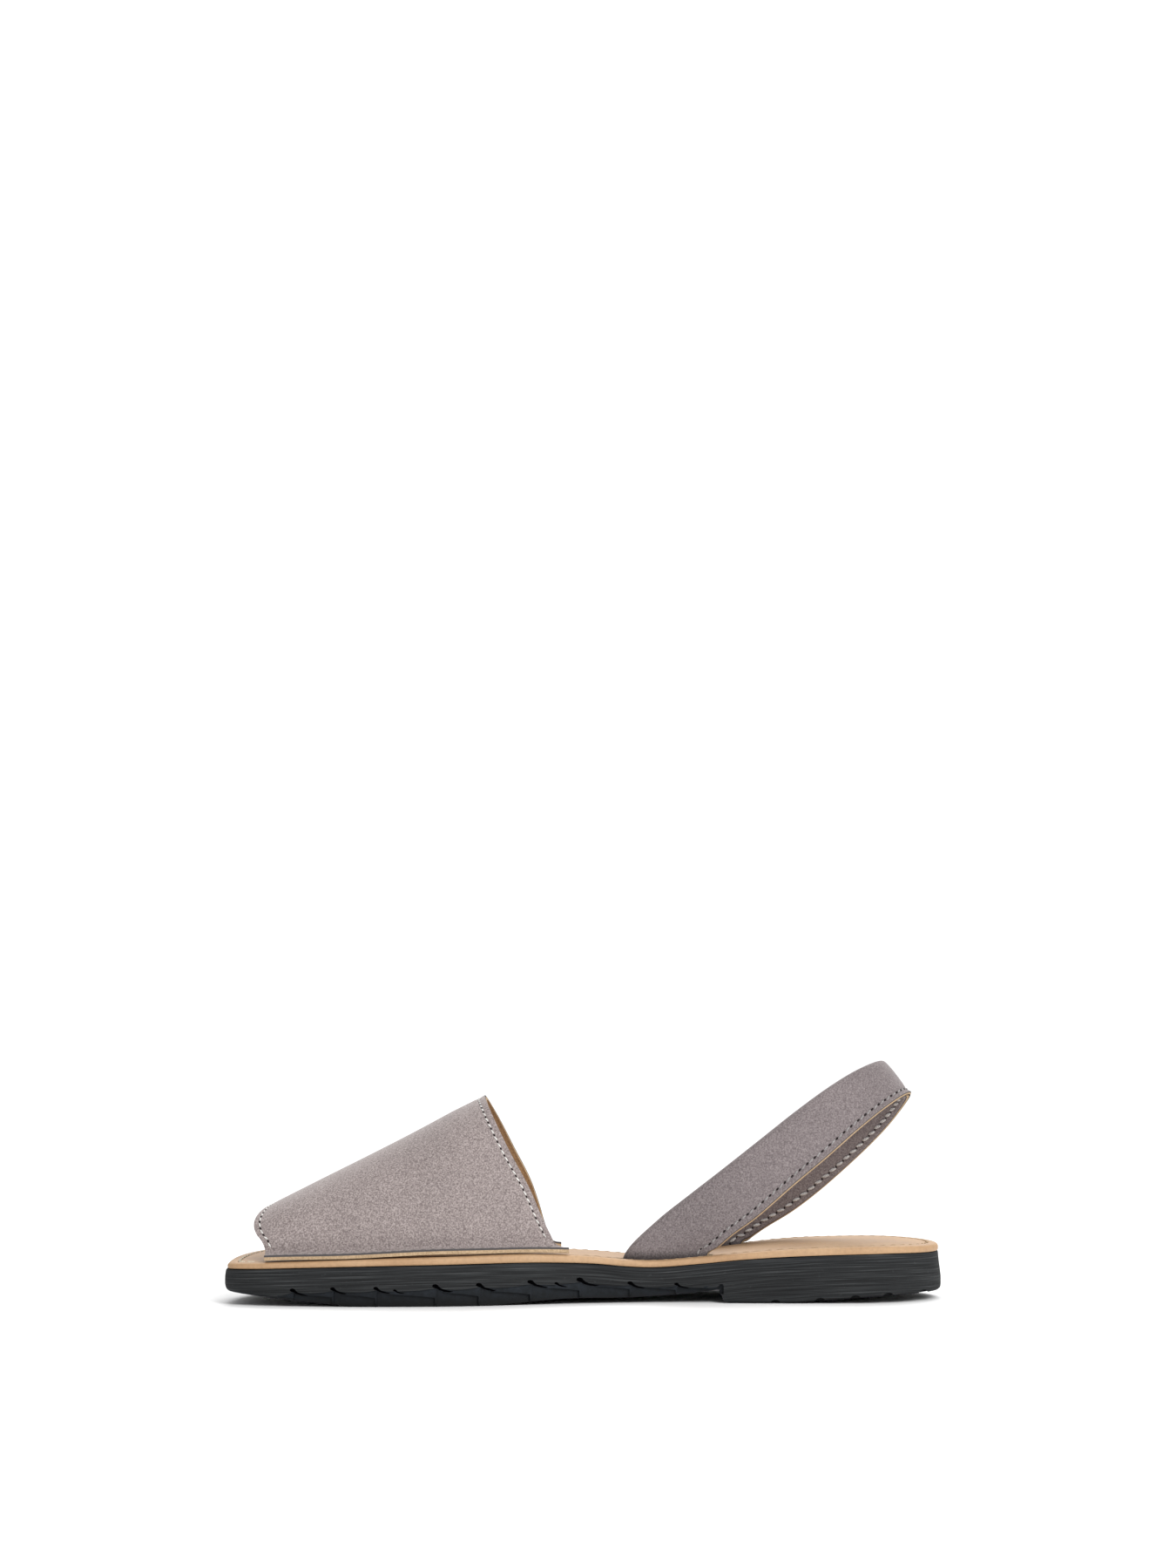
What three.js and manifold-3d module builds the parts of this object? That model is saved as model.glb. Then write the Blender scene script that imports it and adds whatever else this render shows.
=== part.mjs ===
// A right avarca: a flat open-toed sandal with a broad leather vamp and a heel strap on a rubber sole.
// Millimetres, +Z up. The toe points to +X, the inner side of the foot is +Y, and the sole rests on z = 0.
// The origin is under the middle of the sole.
//
// Four pieces are put together as the maker does. The vamp's lower margin is turned outwards and sewn
// down on the insole, and the two ends of the strap drop through slots in the insole.
import * as THREE from 'three';
import Module from 'manifold-3d';
import { mergeVertices } from 'three/addons/utils/BufferGeometryUtils.js';

const wasm = await Module();
wasm.setup();

// Overall sizes
const SOLE_LENGTH = 250;
const BALL_WIDTH = 90;
const SEAT_GAP = 0.3;

// Rubber outsole
const SOLE_THICKNESS = 13.5;
const TOE_SPRING = 4.6;
const WAIST_LIFT = 4.3;
const HEEL_SPRING = 3.0;
const HEEL_LENGTH = 78;
const SIDE_TILT = 0.04;
const SHOULDER_INSET = 1.3;
const HEEL_FLARE = 1.0;
const SCALLOP_PITCH = 16.4;
const SCALLOP_SET_BACK = 24;
const SCALLOP_COUNT = 9;
const SCALLOP_DEPTH = 1.7;
const GROOVE_WIDTH = 2.4;
const GROOVE_DEPTH = 2.6;
const GROOVE_SWING = 2.6;
const HEEL_GROOVE_SET_BACK = 17.2;
const HEEL_GROOVE_PITCH = 13.2;
const HEEL_GROOVE_COUNT = 5;
const HEEL_GROOVE_WIDTH = 4.2;
const HEEL_GROOVE_DEPTH = 1.3;

// Insole
const INSOLE_THICKNESS = 2.6;
const INSOLE_INSET = 0.9;
const SLOT_RIM = 3.6;
const SLOT_POINT = 6;
const SLOT_CLEARANCE = 0.9;

// Vamp. The two rises are heights above the insole.
const VAMP_WALL = 1.8;
const THROAT_RISE = 54.5;
const TOE_RISE = 14.6;
const FLANGE_WIDTH = 5.4;
const FLANGE_INSET = 0.5;
const FOLD_RADIUS = 1.8;
const RIDGE_SHIFT = 6;

// Heel strap. The rise is its height above the rubber.
const STRAP_FOLD = 4.4;
const STRAP_EDGE = 3.0;
const STRAP_FLARE = 0.9;
const STRAP_RISE = 68.5;

const HALF = SOLE_LENGTH / 2;
const HEEL_FRONT = HEEL_LENGTH - HALF;
const HEEL_STEP = 0.8;
const INSOLE_LEVEL = SOLE_THICKNESS + SEAT_GAP + INSOLE_THICKNESS;
const OVERSIZE = 20;
const GROOVE_STEPS = 14;

// Share of the sole's length at x, from the heel
function share(x) {
  return x / SOLE_LENGTH + 0.5;
}

// Smooth curve through table rows: the value in the column called name where the key column is at
function follow(rows, key, name, at) {
  const last = rows.length - 1;
  if (at <= rows[0][key]) return rows[0][name];
  if (at >= rows[last][key]) return rows[last][name];
  let i = 0;
  while (rows[i + 1][key] < at) i += 1;
  const slope = (a, b) => (rows[b][name] - rows[a][name]) / (rows[b][key] - rows[a][key]);
  const tangent = (k) => {
    if (k === 0) return slope(0, 1);
    if (k === last) return slope(last - 1, last);
    return slope(k - 1, k + 1);
  };
  const span = rows[i + 1][key] - rows[i][key];
  const t = (at - rows[i][key]) / span;
  const t2 = t * t;
  const t3 = t2 * t;
  return (2 * t3 - 3 * t2 + 1) * rows[i][name] + (t3 - 2 * t2 + t) * span * tangent(i)
    + (3 * t2 - 2 * t3) * rows[i + 1][name] + (t3 - t2) * span * tangent(i + 1);
}

// Plan of the sole, in shares of the length from the heel and of the ball width from the centre line,
// before the two ends are rounded
const PLAN = [
  { along: 0.00, inner: 0.330, outer: 0.335 },
  { along: 0.12, inner: 0.338, outer: 0.342 },
  { along: 0.26, inner: 0.325, outer: 0.350 },
  { along: 0.40, inner: 0.308, outer: 0.372 },
  { along: 0.49, inner: 0.342, outer: 0.402 },
  { along: 0.58, inner: 0.412, outer: 0.455 },
  { along: 0.69, inner: 0.482, outer: 0.500 },
  { along: 0.80, inner: 0.500, outer: 0.488 },
  { along: 0.90, inner: 0.482, outer: 0.450 },
  { along: 1.00, inner: 0.440, outer: 0.410 },
];
const TIP_SIDE = 0.33;
const HEEL_ROUND = { share: 0.13, power: 2.15 };
const TOE_INNER_ROUND = { share: 0.075, power: 2.3 };
const TOE_OUTER_ROUND = { share: 0.26, power: 2.7 };

// How far an end has closed: 1 where the plan is full, 0 at the very tip
function rounding(distance, round) {
  if (distance >= round.share) return 1;
  const gone = 1 - distance / round.share;
  return Math.pow(Math.max(0, 1 - Math.pow(gone, round.power)), 1 / round.power);
}

// Y of the sole's edge at x, on the inner side (+1) or the outer side (-1)
function edgeY(x, side) {
  const along = Math.min(1, Math.max(0, share(x)));
  const full = side * BALL_WIDTH * follow(PLAN, 'along', side > 0 ? 'inner' : 'outer', along);
  const tip = TIP_SIDE * BALL_WIDTH;
  const toe = rounding(1 - along, side > 0 ? TOE_INNER_ROUND : TOE_OUTER_ROUND);
  const heel = rounding(along, HEEL_ROUND);
  return tip + (full * heel - tip) * toe;
}

// Side profile: heights in shares of the sole thickness, the top of the rubber and the insole on it.
// lean is how much the outer side is lower than the inner one, in shares of the side tilt.
const PROFILE = [
  { along: 0.00, top: 1.20, insole: 1.00, lean: 0.0 },
  { along: 0.08, top: 1.23, insole: 1.00, lean: 0.0 },
  { along: 0.20, top: 1.17, insole: 1.00, lean: 0.0 },
  { along: 0.28, top: 1.08, insole: 0.95, lean: 0.3 },
  { along: 0.34, top: 0.97, insole: 0.90, lean: 0.4 },
  { along: 0.40, top: 0.88, insole: 0.90, lean: 0.6 },
  { along: 0.44, top: 0.90, insole: 0.90, lean: 0.8 },
  { along: 0.49, top: 0.99, insole: 1.00, lean: 1.0 },
  { along: 0.55, top: 1.04, insole: 1.10, lean: 1.0 },
  { along: 0.60, top: 1.05, insole: 1.15, lean: 0.6 },
  { along: 0.68, top: 1.03, insole: 1.05, lean: 0.1 },
  { along: 0.78, top: 1.00, insole: 0.97, lean: 0.0 },
  { along: 0.90, top: 0.94, insole: 0.85, lean: -0.2 },
  { along: 1.00, top: 0.87, insole: 0.78, lean: -0.5 },
];

// Underside: how much of the toe spring, waist lift and heel spring is reached
const UNDERSIDE = [
  { along: 0.00, toe: 0.00, waist: 0.0, heel: 1.00 },
  { along: 0.08, toe: 0.00, waist: 0.0, heel: 0.80 },
  { along: 0.16, toe: 0.00, waist: 0.0, heel: 0.35 },
  { along: 0.22, toe: 0.00, waist: 0.0, heel: 0.00 },
  { along: 0.30, toe: 0.00, waist: 1.0, heel: 0.00 },
  { along: 0.36, toe: 0.00, waist: 0.70, heel: 0.00 },
  { along: 0.44, toe: 0.00, waist: 0.42, heel: 0.00 },
  { along: 0.53, toe: 0.00, waist: 0.40, heel: 0.00 },
  { along: 0.60, toe: 0.00, waist: 0.12, heel: 0.00 },
  { along: 0.65, toe: 0.00, waist: 0.0, heel: 0.00 },
  { along: 0.80, toe: 0.00, waist: 0.0, heel: 0.00 },
  { along: 0.88, toe: 0.30, waist: 0.0, heel: 0.00 },
  { along: 0.95, toe: 0.70, waist: 0.0, heel: 0.00 },
  { along: 1.00, toe: 1.00, waist: 0.0, heel: 0.00 },
];

function rubberTop(x, y) {
  const at = share(x);
  return SOLE_THICKNESS * follow(PROFILE, 'along', 'top', at)
    + SIDE_TILT * follow(PROFILE, 'along', 'lean', at) * (y - edgeY(x, 1));
}

// Steps straight up to the waist at the front of the heel
function rubberBottom(x) {
  const at = share(x);
  const behind = x <= HEEL_FRONT;
  const waist = behind ? 0 : Math.max(0, follow(UNDERSIDE, 'along', 'waist', at));
  const heel = behind ? Math.max(0, follow(UNDERSIDE, 'along', 'heel', at)) : 0;
  const toe = Math.max(0, follow(UNDERSIDE, 'along', 'toe', at));
  return TOE_SPRING * toe + WAIST_LIFT * waist + HEEL_SPRING * heel;
}

function insoleTop(x, y) {
  return rubberTop(x, y) + SEAT_GAP + INSOLE_THICKNESS * follow(PROFILE, 'along', 'insole', share(x));
}

const HEEL_STATIONS = 9;
const SEAT_STATIONS = 6;
const WAIST_STATIONS = 16;
const TOE_STATIONS = 16;

// Positions along the sole, closer together where the ends are round and at the heel's front
function stations() {
  const xs = [];
  const add = (from, to, count) => {
    for (let i = 0; i <= count; i += 1) xs.push(from + ((to - from) * i) / count);
  };
  const turn = (length, i, count) => length * (1 - Math.cos((i / count) * Math.PI / 2));
  const heelTurn = SOLE_LENGTH * HEEL_ROUND.share;
  const toeTurn = SOLE_LENGTH * TOE_OUTER_ROUND.share;
  const space = SOLE_LENGTH / 40;
  for (let i = 0; i <= HEEL_STATIONS; i += 1) xs.push(turn(heelTurn, i, HEEL_STATIONS) - HALF);
  add(heelTurn + space - HALF, HEEL_FRONT, SEAT_STATIONS);
  add(HEEL_FRONT + HEEL_STEP, HALF - toeTurn - space, WAIST_STATIONS);
  for (let i = TOE_STATIONS; i >= 0; i -= 1) xs.push(HALF - turn(toeTurn, i, TOE_STATIONS));
  return xs;
}

// Closed ring of plan points at the stations, moved in from the sole's edge by inset(x)
function ring(inset) {
  const xs = stations();
  const inner = xs.map((x) => [x, edgeY(x, 1)]);
  const outer = xs.map((x) => [x, edgeY(x, -1)]).slice(1, -1).reverse();
  const loop = [...inner, ...outer];
  return loop.map(([x, y], i) => {
    const before = loop[(i + loop.length - 1) % loop.length];
    const after = loop[(i + 1) % loop.length];
    const dx = after[0] - before[0];
    const dy = after[1] - before[1];
    const size = Math.hypot(dx, dy) || 1;
    const by = inset(x);
    return [x + (dy / size) * by, y - (dx / size) * by];
  });
}

// Triangles of a cap over a ring from ring(): strips between the inner and outer sides
function capFaces(count, first, up) {
  const n = stations().length;
  const outerAt = (i) => (i === 0 ? 0 : i === n - 1 ? n - 1 : count - i);
  const faces = [];
  const push = (a, b, c) => {
    if (a !== b && b !== c && a !== c) faces.push(up ? [a, b, c] : [a, c, b]);
  };
  for (let i = 0; i < n - 1; i += 1) {
    const a = first + i;
    const b = first + i + 1;
    const c = first + outerAt(i + 1);
    const d = first + outerAt(i);
    push(a, d, c);
    push(a, c, b);
  }
  return faces;
}

// A solid from rings stacked upwards. Each ring is a list of [x, y, z].
function stack(rings) {
  const count = rings[0].length;
  const points = rings.flat();
  const faces = [...capFaces(count, 0, false)];
  for (let r = 0; r < rings.length - 1; r += 1) {
    for (let i = 0; i < count; i += 1) {
      const j = (i + 1) % count;
      const a = r * count + i;
      const b = r * count + j;
      const c = (r + 1) * count + j;
      const d = (r + 1) * count + i;
      faces.push([a, c, b], [a, d, c]);
    }
  }
  faces.push(...capFaces(count, (rings.length - 1) * count, true));
  return toSolid(points, faces);
}

function toSolid(points, faces) {
  return new wasm.Manifold(new wasm.Mesh({
    numProp: 3,
    vertProperties: new Float32Array(points.flat()),
    triVerts: new Uint32Array(faces.flat()),
  }));
}

function fromGeometry(geometry) {
  const bare = geometry.clone();
  bare.deleteAttribute('normal');
  bare.deleteAttribute('uv');
  const merged = mergeVertices(bare, 1e-4);
  return new wasm.Manifold(new wasm.Mesh({
    numProp: 3,
    vertProperties: new Float32Array(merged.attributes.position.array),
    triVerts: new Uint32Array(merged.index.array),
  }));
}

function toGeometry(solid) {
  const mesh = solid.getMesh();
  const geometry = new THREE.BufferGeometry();
  geometry.setAttribute('position', new THREE.BufferAttribute(new Float32Array(mesh.vertProperties), 3));
  geometry.setIndex(new THREE.BufferAttribute(new Uint32Array(mesh.triVerts), 1));
  return geometry;
}

// A flat outline in x and z, pulled along y
function sideways(outline, fromY, toY) {
  const shape = new THREE.Shape(outline.map(([x, z]) => new THREE.Vector2(x, z)));
  const body = new THREE.ExtrudeGeometry(shape, { depth: toY - fromY, bevelEnabled: false });
  body.rotateX(Math.PI / 2);
  body.translate(0, toY, 0);
  return fromGeometry(body);
}

// A flat outline in x and y, pulled up along z
function upright(outline, fromZ, toZ) {
  const shape = new THREE.Shape(outline.map(([x, y]) => new THREE.Vector2(x, y)));
  const body = new THREE.ExtrudeGeometry(shape, { depth: toZ - fromZ, bevelEnabled: false });
  body.translate(0, 0, fromZ);
  return fromGeometry(body);
}

// Rubber outsole

const inHeel = (x) => x <= HEEL_FRONT + HEEL_STEP / 2;

function outsoleBody() {
  const level = (inset, part) => ring(inset).map(([x, y]) => {
    const low = rubberBottom(x);
    return [x, y, low + (rubberTop(x, y) - low) * part];
  });
  return stack([
    level((x) => (inHeel(x) ? SHOULDER_INSET / 2 : SHOULDER_INSET), 0),
    level((x) => (inHeel(x) ? 0 : SHOULDER_INSET / 3), 0.12),
    level(() => 0, 0.34),
    level((x) => (inHeel(x) ? HEEL_FLARE * 0.6 : 0), 0.7),
    level((x) => (inHeel(x) ? HEEL_FLARE : HEEL_FLARE / 3), 1),
  ]);
}

// One scallop from its nick (0) to the next (1): the height of its upper edge, as a share of the side
const SCALLOP = [
  { along: -0.03, rise: 0.42 },
  { along: 0.08, rise: 0.42 },
  { along: 0.20, rise: 0.34 },
  { along: 0.55, rise: 0.29 },
  { along: 1.00, rise: 0.22 },
];

// Rib steps on the lower side: each scallop starts at a nick and sweeps down towards the heel
function scallops() {
  const core = upright(ring(() => SCALLOP_DEPTH), -OVERSIZE, SOLE_THICKNESS);
  let row = null;
  for (let i = 0; i < SCALLOP_COUNT; i += 1) {
    const nick = HALF - SCALLOP_SET_BACK - i * SCALLOP_PITCH;
    const end = Math.max(nick - SCALLOP_PITCH + GROOVE_WIDTH / 4, HEEL_FRONT + HEEL_STEP * 2);
    const low = rubberBottom(Math.max(nick - SCALLOP_PITCH / 2, end));
    const side = rubberTop(nick, 0) - low;
    const edge = SCALLOP.map((point) => [nick - (nick - end) * point.along, low + side * point.rise]);
    const foot = [[end, -OVERSIZE], [edge[0][0], -OVERSIZE]];
    const cut = sideways([...edge, ...foot].reverse(), -BALL_WIDTH, BALL_WIDTH);
    row = row ? row.add(cut) : cut;
  }
  return row.subtract(core);
}

// A groove right across the tread, in two waves over the ball's width
function treadGroove(at, width, depth, swing) {
  const side = (offset) => {
    const line = [];
    for (let i = 0; i <= GROOVE_STEPS; i += 1) {
      const across = (i / GROOVE_STEPS - 0.5) * 1.2;
      line.push([at + offset + swing * Math.sin(across * Math.PI * 4), across * BALL_WIDTH]);
    }
    return line;
  };
  return upright([...side(width / 2), ...side(-width / 2).reverse()], -OVERSIZE, rubberBottom(at) + depth);
}

function outsole() {
  let solid = outsoleBody().subtract(scallops());
  for (let i = 0; i < SCALLOP_COUNT; i += 1) {
    const at = HALF - SCALLOP_SET_BACK - i * SCALLOP_PITCH - GROOVE_WIDTH / 2;
    solid = solid.subtract(treadGroove(at, GROOVE_WIDTH, GROOVE_DEPTH, GROOVE_SWING));
  }
  for (let i = 0; i < HEEL_GROOVE_COUNT; i += 1) {
    const at = HEEL_FRONT - HEEL_GROOVE_SET_BACK - HEEL_GROOVE_PITCH * i;
    solid = solid.subtract(treadGroove(at, HEEL_GROOVE_WIDTH, HEEL_GROOVE_DEPTH, 0));
  }
  return solid;
}

// Strap: a band folded along its upper edge. Each row is one line across the band, its upper edge
// and then its lower one, in shares of the sole length (back), of the foot's distance from the centre
// line on that side (side), and of the strap's rise above the rubber (rise).
const STRAP = [
  { back: -0.047, side: 1.00, rise: -0.101, lowBack: -0.164, lowSide: 1.00, lowRise: -0.101 },
  { back: -0.055, side: 1.00, rise: 0.050, lowBack: -0.171, lowSide: 1.00, lowRise: 0.042 },
  { back: -0.098, side: 1.06, rise: 0.210, lowBack: -0.187, lowSide: 1.05, lowRise: 0.086 },
  { back: -0.143, side: 1.13, rise: 0.342, lowBack: -0.206, lowSide: 1.12, lowRise: 0.145 },
  { back: -0.189, side: 1.19, rise: 0.473, lowBack: -0.240, lowSide: 1.20, lowRise: 0.236 },
  { back: -0.241, side: 1.22, rise: 0.623, lowBack: -0.288, lowSide: 1.27, lowRise: 0.390 },
  { back: -0.287, side: 1.18, rise: 0.755, lowBack: -0.332, lowSide: 1.27, lowRise: 0.523 },
  { back: -0.332, side: 1.05, rise: 0.873, lowBack: -0.376, lowSide: 1.13, lowRise: 0.661 },
  { back: -0.371, side: 0.80, rise: 0.958, lowBack: -0.412, lowSide: 0.87, lowRise: 0.761 },
  { back: -0.400, side: 0.44, rise: 1.000, lowBack: -0.441, lowSide: 0.50, lowRise: 0.823 },
  { back: -0.413, side: 0.00, rise: 1.000, lowBack: -0.455, lowSide: 0.00, lowRise: 0.826 },
  { back: -0.405, side: -0.34, rise: 0.964, lowBack: -0.450, lowSide: -0.38, lowRise: 0.768 },
  { back: -0.383, side: -0.63, rise: 0.883, lowBack: -0.430, lowSide: -0.69, lowRise: 0.658 },
  { back: -0.351, side: -0.85, rise: 0.772, lowBack: -0.401, lowSide: -0.92, lowRise: 0.539 },
  { back: -0.315, side: -0.98, rise: 0.655, lowBack: -0.368, lowSide: -1.05, lowRise: 0.422 },
  { back: -0.277, side: -1.05, rise: 0.536, lowBack: -0.332, lowSide: -1.11, lowRise: 0.307 },
  { back: -0.235, side: -1.07, rise: 0.419, lowBack: -0.296, lowSide: -1.11, lowRise: 0.209 },
  { back: -0.190, side: -1.06, rise: 0.299, lowBack: -0.260, lowSide: -1.08, lowRise: 0.131 },
  { back: -0.144, side: -1.03, rise: 0.174, lowBack: -0.237, lowSide: -1.04, lowRise: 0.076 },
  { back: -0.104, side: -1.00, rise: 0.050, lowBack: -0.224, lowSide: -1.00, lowRise: 0.042 },
  { back: -0.095, side: -1.00, rise: -0.101, lowBack: -0.217, lowSide: -1.00, lowRise: -0.101 },
];
const STRAP_STEPS = 60;

// Y of the strap's two feet, a rim's width inside the edge of the insole
function strapFootY(row, side) {
  const x = ((row.back + row.lowBack) / 2) * SOLE_LENGTH;
  return edgeY(x, side) - side * (INSOLE_INSET + SLOT_RIM + SLOT_CLEARANCE + STRAP_FOLD / 2);
}

const STRAP_FEET = { inner: strapFootY(STRAP[1], 1), outer: strapFootY(STRAP[STRAP.length - 2], -1) };

// Where the band is at a share of its run: its upper and lower edges as points
function strapLine(run) {
  const rows = STRAP.map((row, i) => ({ ...row, run: i / (STRAP.length - 1) }));
  const at = (name) => follow(rows, 'run', name, run);
  const point = (back, side, rise) => new THREE.Vector3(
    back * SOLE_LENGTH,
    Math.abs(side) * (side > 0 ? STRAP_FEET.inner : STRAP_FEET.outer),
    SOLE_THICKNESS + rise * STRAP_RISE,
  );
  return [point(at('back'), at('side'), at('rise')), point(at('lowBack'), at('lowSide'), at('lowRise'))];
}

// Across the band from the fold (0) to the raw lower edge (1): how much of the fold's half thickness
// and of the edge's half thickness it has there, and how far the sewn edge flares out
const BAND = [
  { down: 0.00, fold: 0.00, edge: 0.00, flare: 0.0 },
  { down: 0.03, fold: 0.62, edge: 0.00, flare: 0.0 },
  { down: 0.09, fold: 0.93, edge: 0.00, flare: 0.0 },
  { down: 0.25, fold: 1.00, edge: 0.00, flare: 0.0 },
  { down: 0.55, fold: 0.90, edge: 0.00, flare: 0.0 },
  { down: 0.82, fold: 0.00, edge: 1.00, flare: 0.0 },
  { down: 0.90, fold: 0.00, edge: 1.00, flare: 0.4 },
  { down: 1.00, fold: 0.00, edge: 1.04, flare: 1.0 },
];

function strapBand() {
  const points = [];
  const faces = [];
  const around = BAND.length * 2 - 1;
  for (let s = 0; s <= STRAP_STEPS; s += 1) {
    const run = s / STRAP_STEPS;
    const [high, low] = strapLine(run);
    const ahead = strapLine(Math.min(1, run + 0.5 / STRAP_STEPS));
    const behind = strapLine(Math.max(0, run - 0.5 / STRAP_STEPS));
    const across = new THREE.Vector3().subVectors(low, high);
    BAND.forEach((row, i) => {
      const from = new THREE.Vector3().lerpVectors(behind[0], behind[1], row.down);
      const along = new THREE.Vector3().lerpVectors(ahead[0], ahead[1], row.down).sub(from);
      const out = new THREE.Vector3().crossVectors(across, along).normalize();
      const half = (row.fold * STRAP_FOLD + row.edge * STRAP_EDGE) / 2;
      const middle = new THREE.Vector3().lerpVectors(high, low, row.down);
      middle.addScaledVector(out, row.flare * STRAP_FLARE);
      const outside = middle.clone().addScaledVector(out, half);
      const inside = middle.clone().addScaledVector(out, -half);
      points[s * around + i] = outside.toArray();
      if (i > 0) points[s * around + around - i] = inside.toArray();
    });
  }
  for (let s = 0; s < STRAP_STEPS; s += 1) {
    for (let i = 0; i < around; i += 1) {
      const j = (i + 1) % around;
      const a = s * around + i;
      const b = s * around + j;
      faces.push([a, b, b + around], [a, b + around, a + around]);
    }
  }
  for (let i = 1; i < around - 1; i += 1) {
    const end = STRAP_STEPS * around;
    faces.push([0, i + 1, i], [end, end + i, end + i + 1]);
  }
  return toSolid(points, faces);
}

// Everything up to a height above the rubber, used to trim what stands on it
function rubberSpace(extra) {
  const outside = ring(() => -OVERSIZE / 2);
  const floor = outside.map(([x, y]) => [x, y, -OVERSIZE]);
  return stack([floor, outside.map(([x, y]) => [x, y, rubberTop(x, y) + extra])]);
}

function heelStrap() {
  return strapBand().subtract(rubberSpace(SEAT_GAP));
}

// Insole, with a pointed slot for each end of the strap

// Where the strap's upper (0) or lower (1) edge comes down to a surface, on the inner or outer side
function strapFoot(side, edge, surface) {
  let low = 0;
  let high = 0.4;
  for (let i = 0; i < 20; i += 1) {
    const middle = (low + high) / 2;
    const point = strapLine(side > 0 ? middle : 1 - middle)[edge];
    if (point.z < surface(point.x, point.y)) low = middle;
    else high = middle;
  }
  return strapLine(side > 0 ? low : 1 - low)[edge];
}

function slot(side) {
  const front = strapFoot(side, 0, insoleTop);
  const back = strapFoot(side, 1, insoleTop);
  const lean = (front.y - back.y) / (front.x - back.x);
  const wide = STRAP_FOLD / 2 + SLOT_CLEARANCE;
  const tip = front.x + SLOT_POINT;
  const end = back.x - SLOT_CLEARANCE - STRAP_FLARE;
  const oval = [
    { x: tip, part: 0 },
    { x: tip - SLOT_POINT * 0.25, part: 0.45 },
    { x: tip - SLOT_POINT * 0.55, part: 0.8 },
    { x: front.x, part: 1 },
    { x: end + STRAP_EDGE / 3, part: 1 },
    { x: end, part: 0.9 },
  ];
  const at = (row, way) => [row.x, back.y + lean * (row.x - back.x) + way * wide * row.part];
  const outline = [...oval.map((row) => at(row, 1)), ...oval.slice(1).reverse().map((row) => at(row, -1))];
  return upright(outline, 0, INSOLE_LEVEL + OVERSIZE);
}

// Section of the footbed's rounded edge: how far in it is at each share of its thickness
const EDGE_ROUND = [
  { inset: 0.2, part: 0 },
  { inset: 0, part: 0.3 },
  { inset: 0.1, part: 0.65 },
  { inset: 0.6, part: 0.92 },
  { inset: 1.5, part: 1 },
];

function insole() {
  const level = (inset, part) => ring(() => INSOLE_INSET + inset).map(([x, y]) => {
    const low = rubberTop(x, y) + SEAT_GAP;
    return [x, y, low + (insoleTop(x, y) - low) * part];
  });
  const body = stack(EDGE_ROUND.map(({ inset, part }) => level(inset, part)));
  return body.subtract(slot(1)).subtract(slot(-1));
}

// Vamp: one leather wall. It runs from the margin turned out on the insole at the inner side, up the
// wall, over the ridge and down to the margin at the outer side. turn is the angle over the arch in
// shares of a half turn, and front is how far ahead an edge is, in shares of the sole length.
const TOE_EDGE = [
  { turn: 0.00, front: 0.443 },
  { turn: 0.06, front: 0.448 },
  { turn: 0.13, front: 0.456 },
  { turn: 0.23, front: 0.460 },
  { turn: 0.34, front: 0.458 },
  { turn: 0.47, front: 0.450 },
  { turn: 0.62, front: 0.436 },
  { turn: 0.80, front: 0.415 },
  { turn: 1.00, front: 0.392 },
];

// Throat edge seen from the side: how far ahead it is at each share of its rise above the insole
const THROAT_EDGE = [
  { rise: 0.06, front: 0.042 },
  { rise: 0.23, front: 0.060 },
  { rise: 0.43, front: 0.079 },
  { rise: 0.65, front: 0.105 },
  { rise: 0.86, front: 0.128 },
  { rise: 1.00, front: 0.143 },
];

// How far the throat edge of the outer side lies ahead of that line, at turns over the arch
const THROAT_OUTER = [
  { turn: 0.50, ahead: 0.0000 },
  { turn: 0.62, ahead: 0.0000 },
  { turn: 0.76, ahead: -0.0004 },
  { turn: 0.83, ahead: 0.0004 },
  { turn: 0.90, ahead: 0.0020 },
  { turn: 0.95, ahead: 0.0050 },
  { turn: 0.98, ahead: 0.0100 },
  { turn: 1.00, ahead: 0.0120 },
];
const FLANGE_BACK_SHARE = 0.024;
const FLANGE_OUTER_AHEAD = 0.012;
const RIDGE_BACK_SHARE = 0.143;
const RIDGE_FRONT_SHARE = 0.458;
const ARCH_POWER = 2.2;
const VAMP_STEPS = 16;
const ARCH_STEPS = 26;
const FOLD_STEPS = 3;
// How far the fold's lower end runs back from the throat to the end of the margin, as a share
const FOLD_SWEEP = 0.8;

// Height of the ridge line, straight from the throat to the toe opening
function ridge(x) {
  const slope = (THROAT_RISE - TOE_RISE) / ((RIDGE_FRONT_SHARE - RIDGE_BACK_SHARE) * SOLE_LENGTH);
  return INSOLE_LEVEL + TOE_RISE + (RIDGE_FRONT_SHARE * SOLE_LENGTH - x) * slope;
}

// Y and z of the wall's foot, just above the fold, on one side
function wallFoot(x, side) {
  const y = edgeY(x, side) - side * (INSOLE_INSET + FLANGE_INSET + FLANGE_WIDTH);
  return { y, z: insoleTop(x, y) + SEAT_GAP + VAMP_WALL + FOLD_RADIUS };
}

// A point of the outer face over x, at a turn over the arch
function archPoint(x, turn) {
  const inner = wallFoot(x, 1);
  const outer = wallFoot(x, -1);
  const c = Math.cos(Math.PI * turn);
  const s = Math.sin(Math.PI * turn);
  const reach = Math.sign(c) * Math.pow(Math.abs(c), 2 / ARCH_POWER);
  const rise = Math.pow(Math.abs(s), 2 / ARCH_POWER);
  const y = (inner.y + outer.y) / 2 + (inner.y - outer.y) / 2 * reach + RIDGE_SHIFT * s * s;
  const foot = (inner.z + outer.z) / 2 + (inner.z - outer.z) / 2 * reach;
  return new THREE.Vector3(x, y, foot + (ridge(x) - foot) * rise);
}

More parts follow.
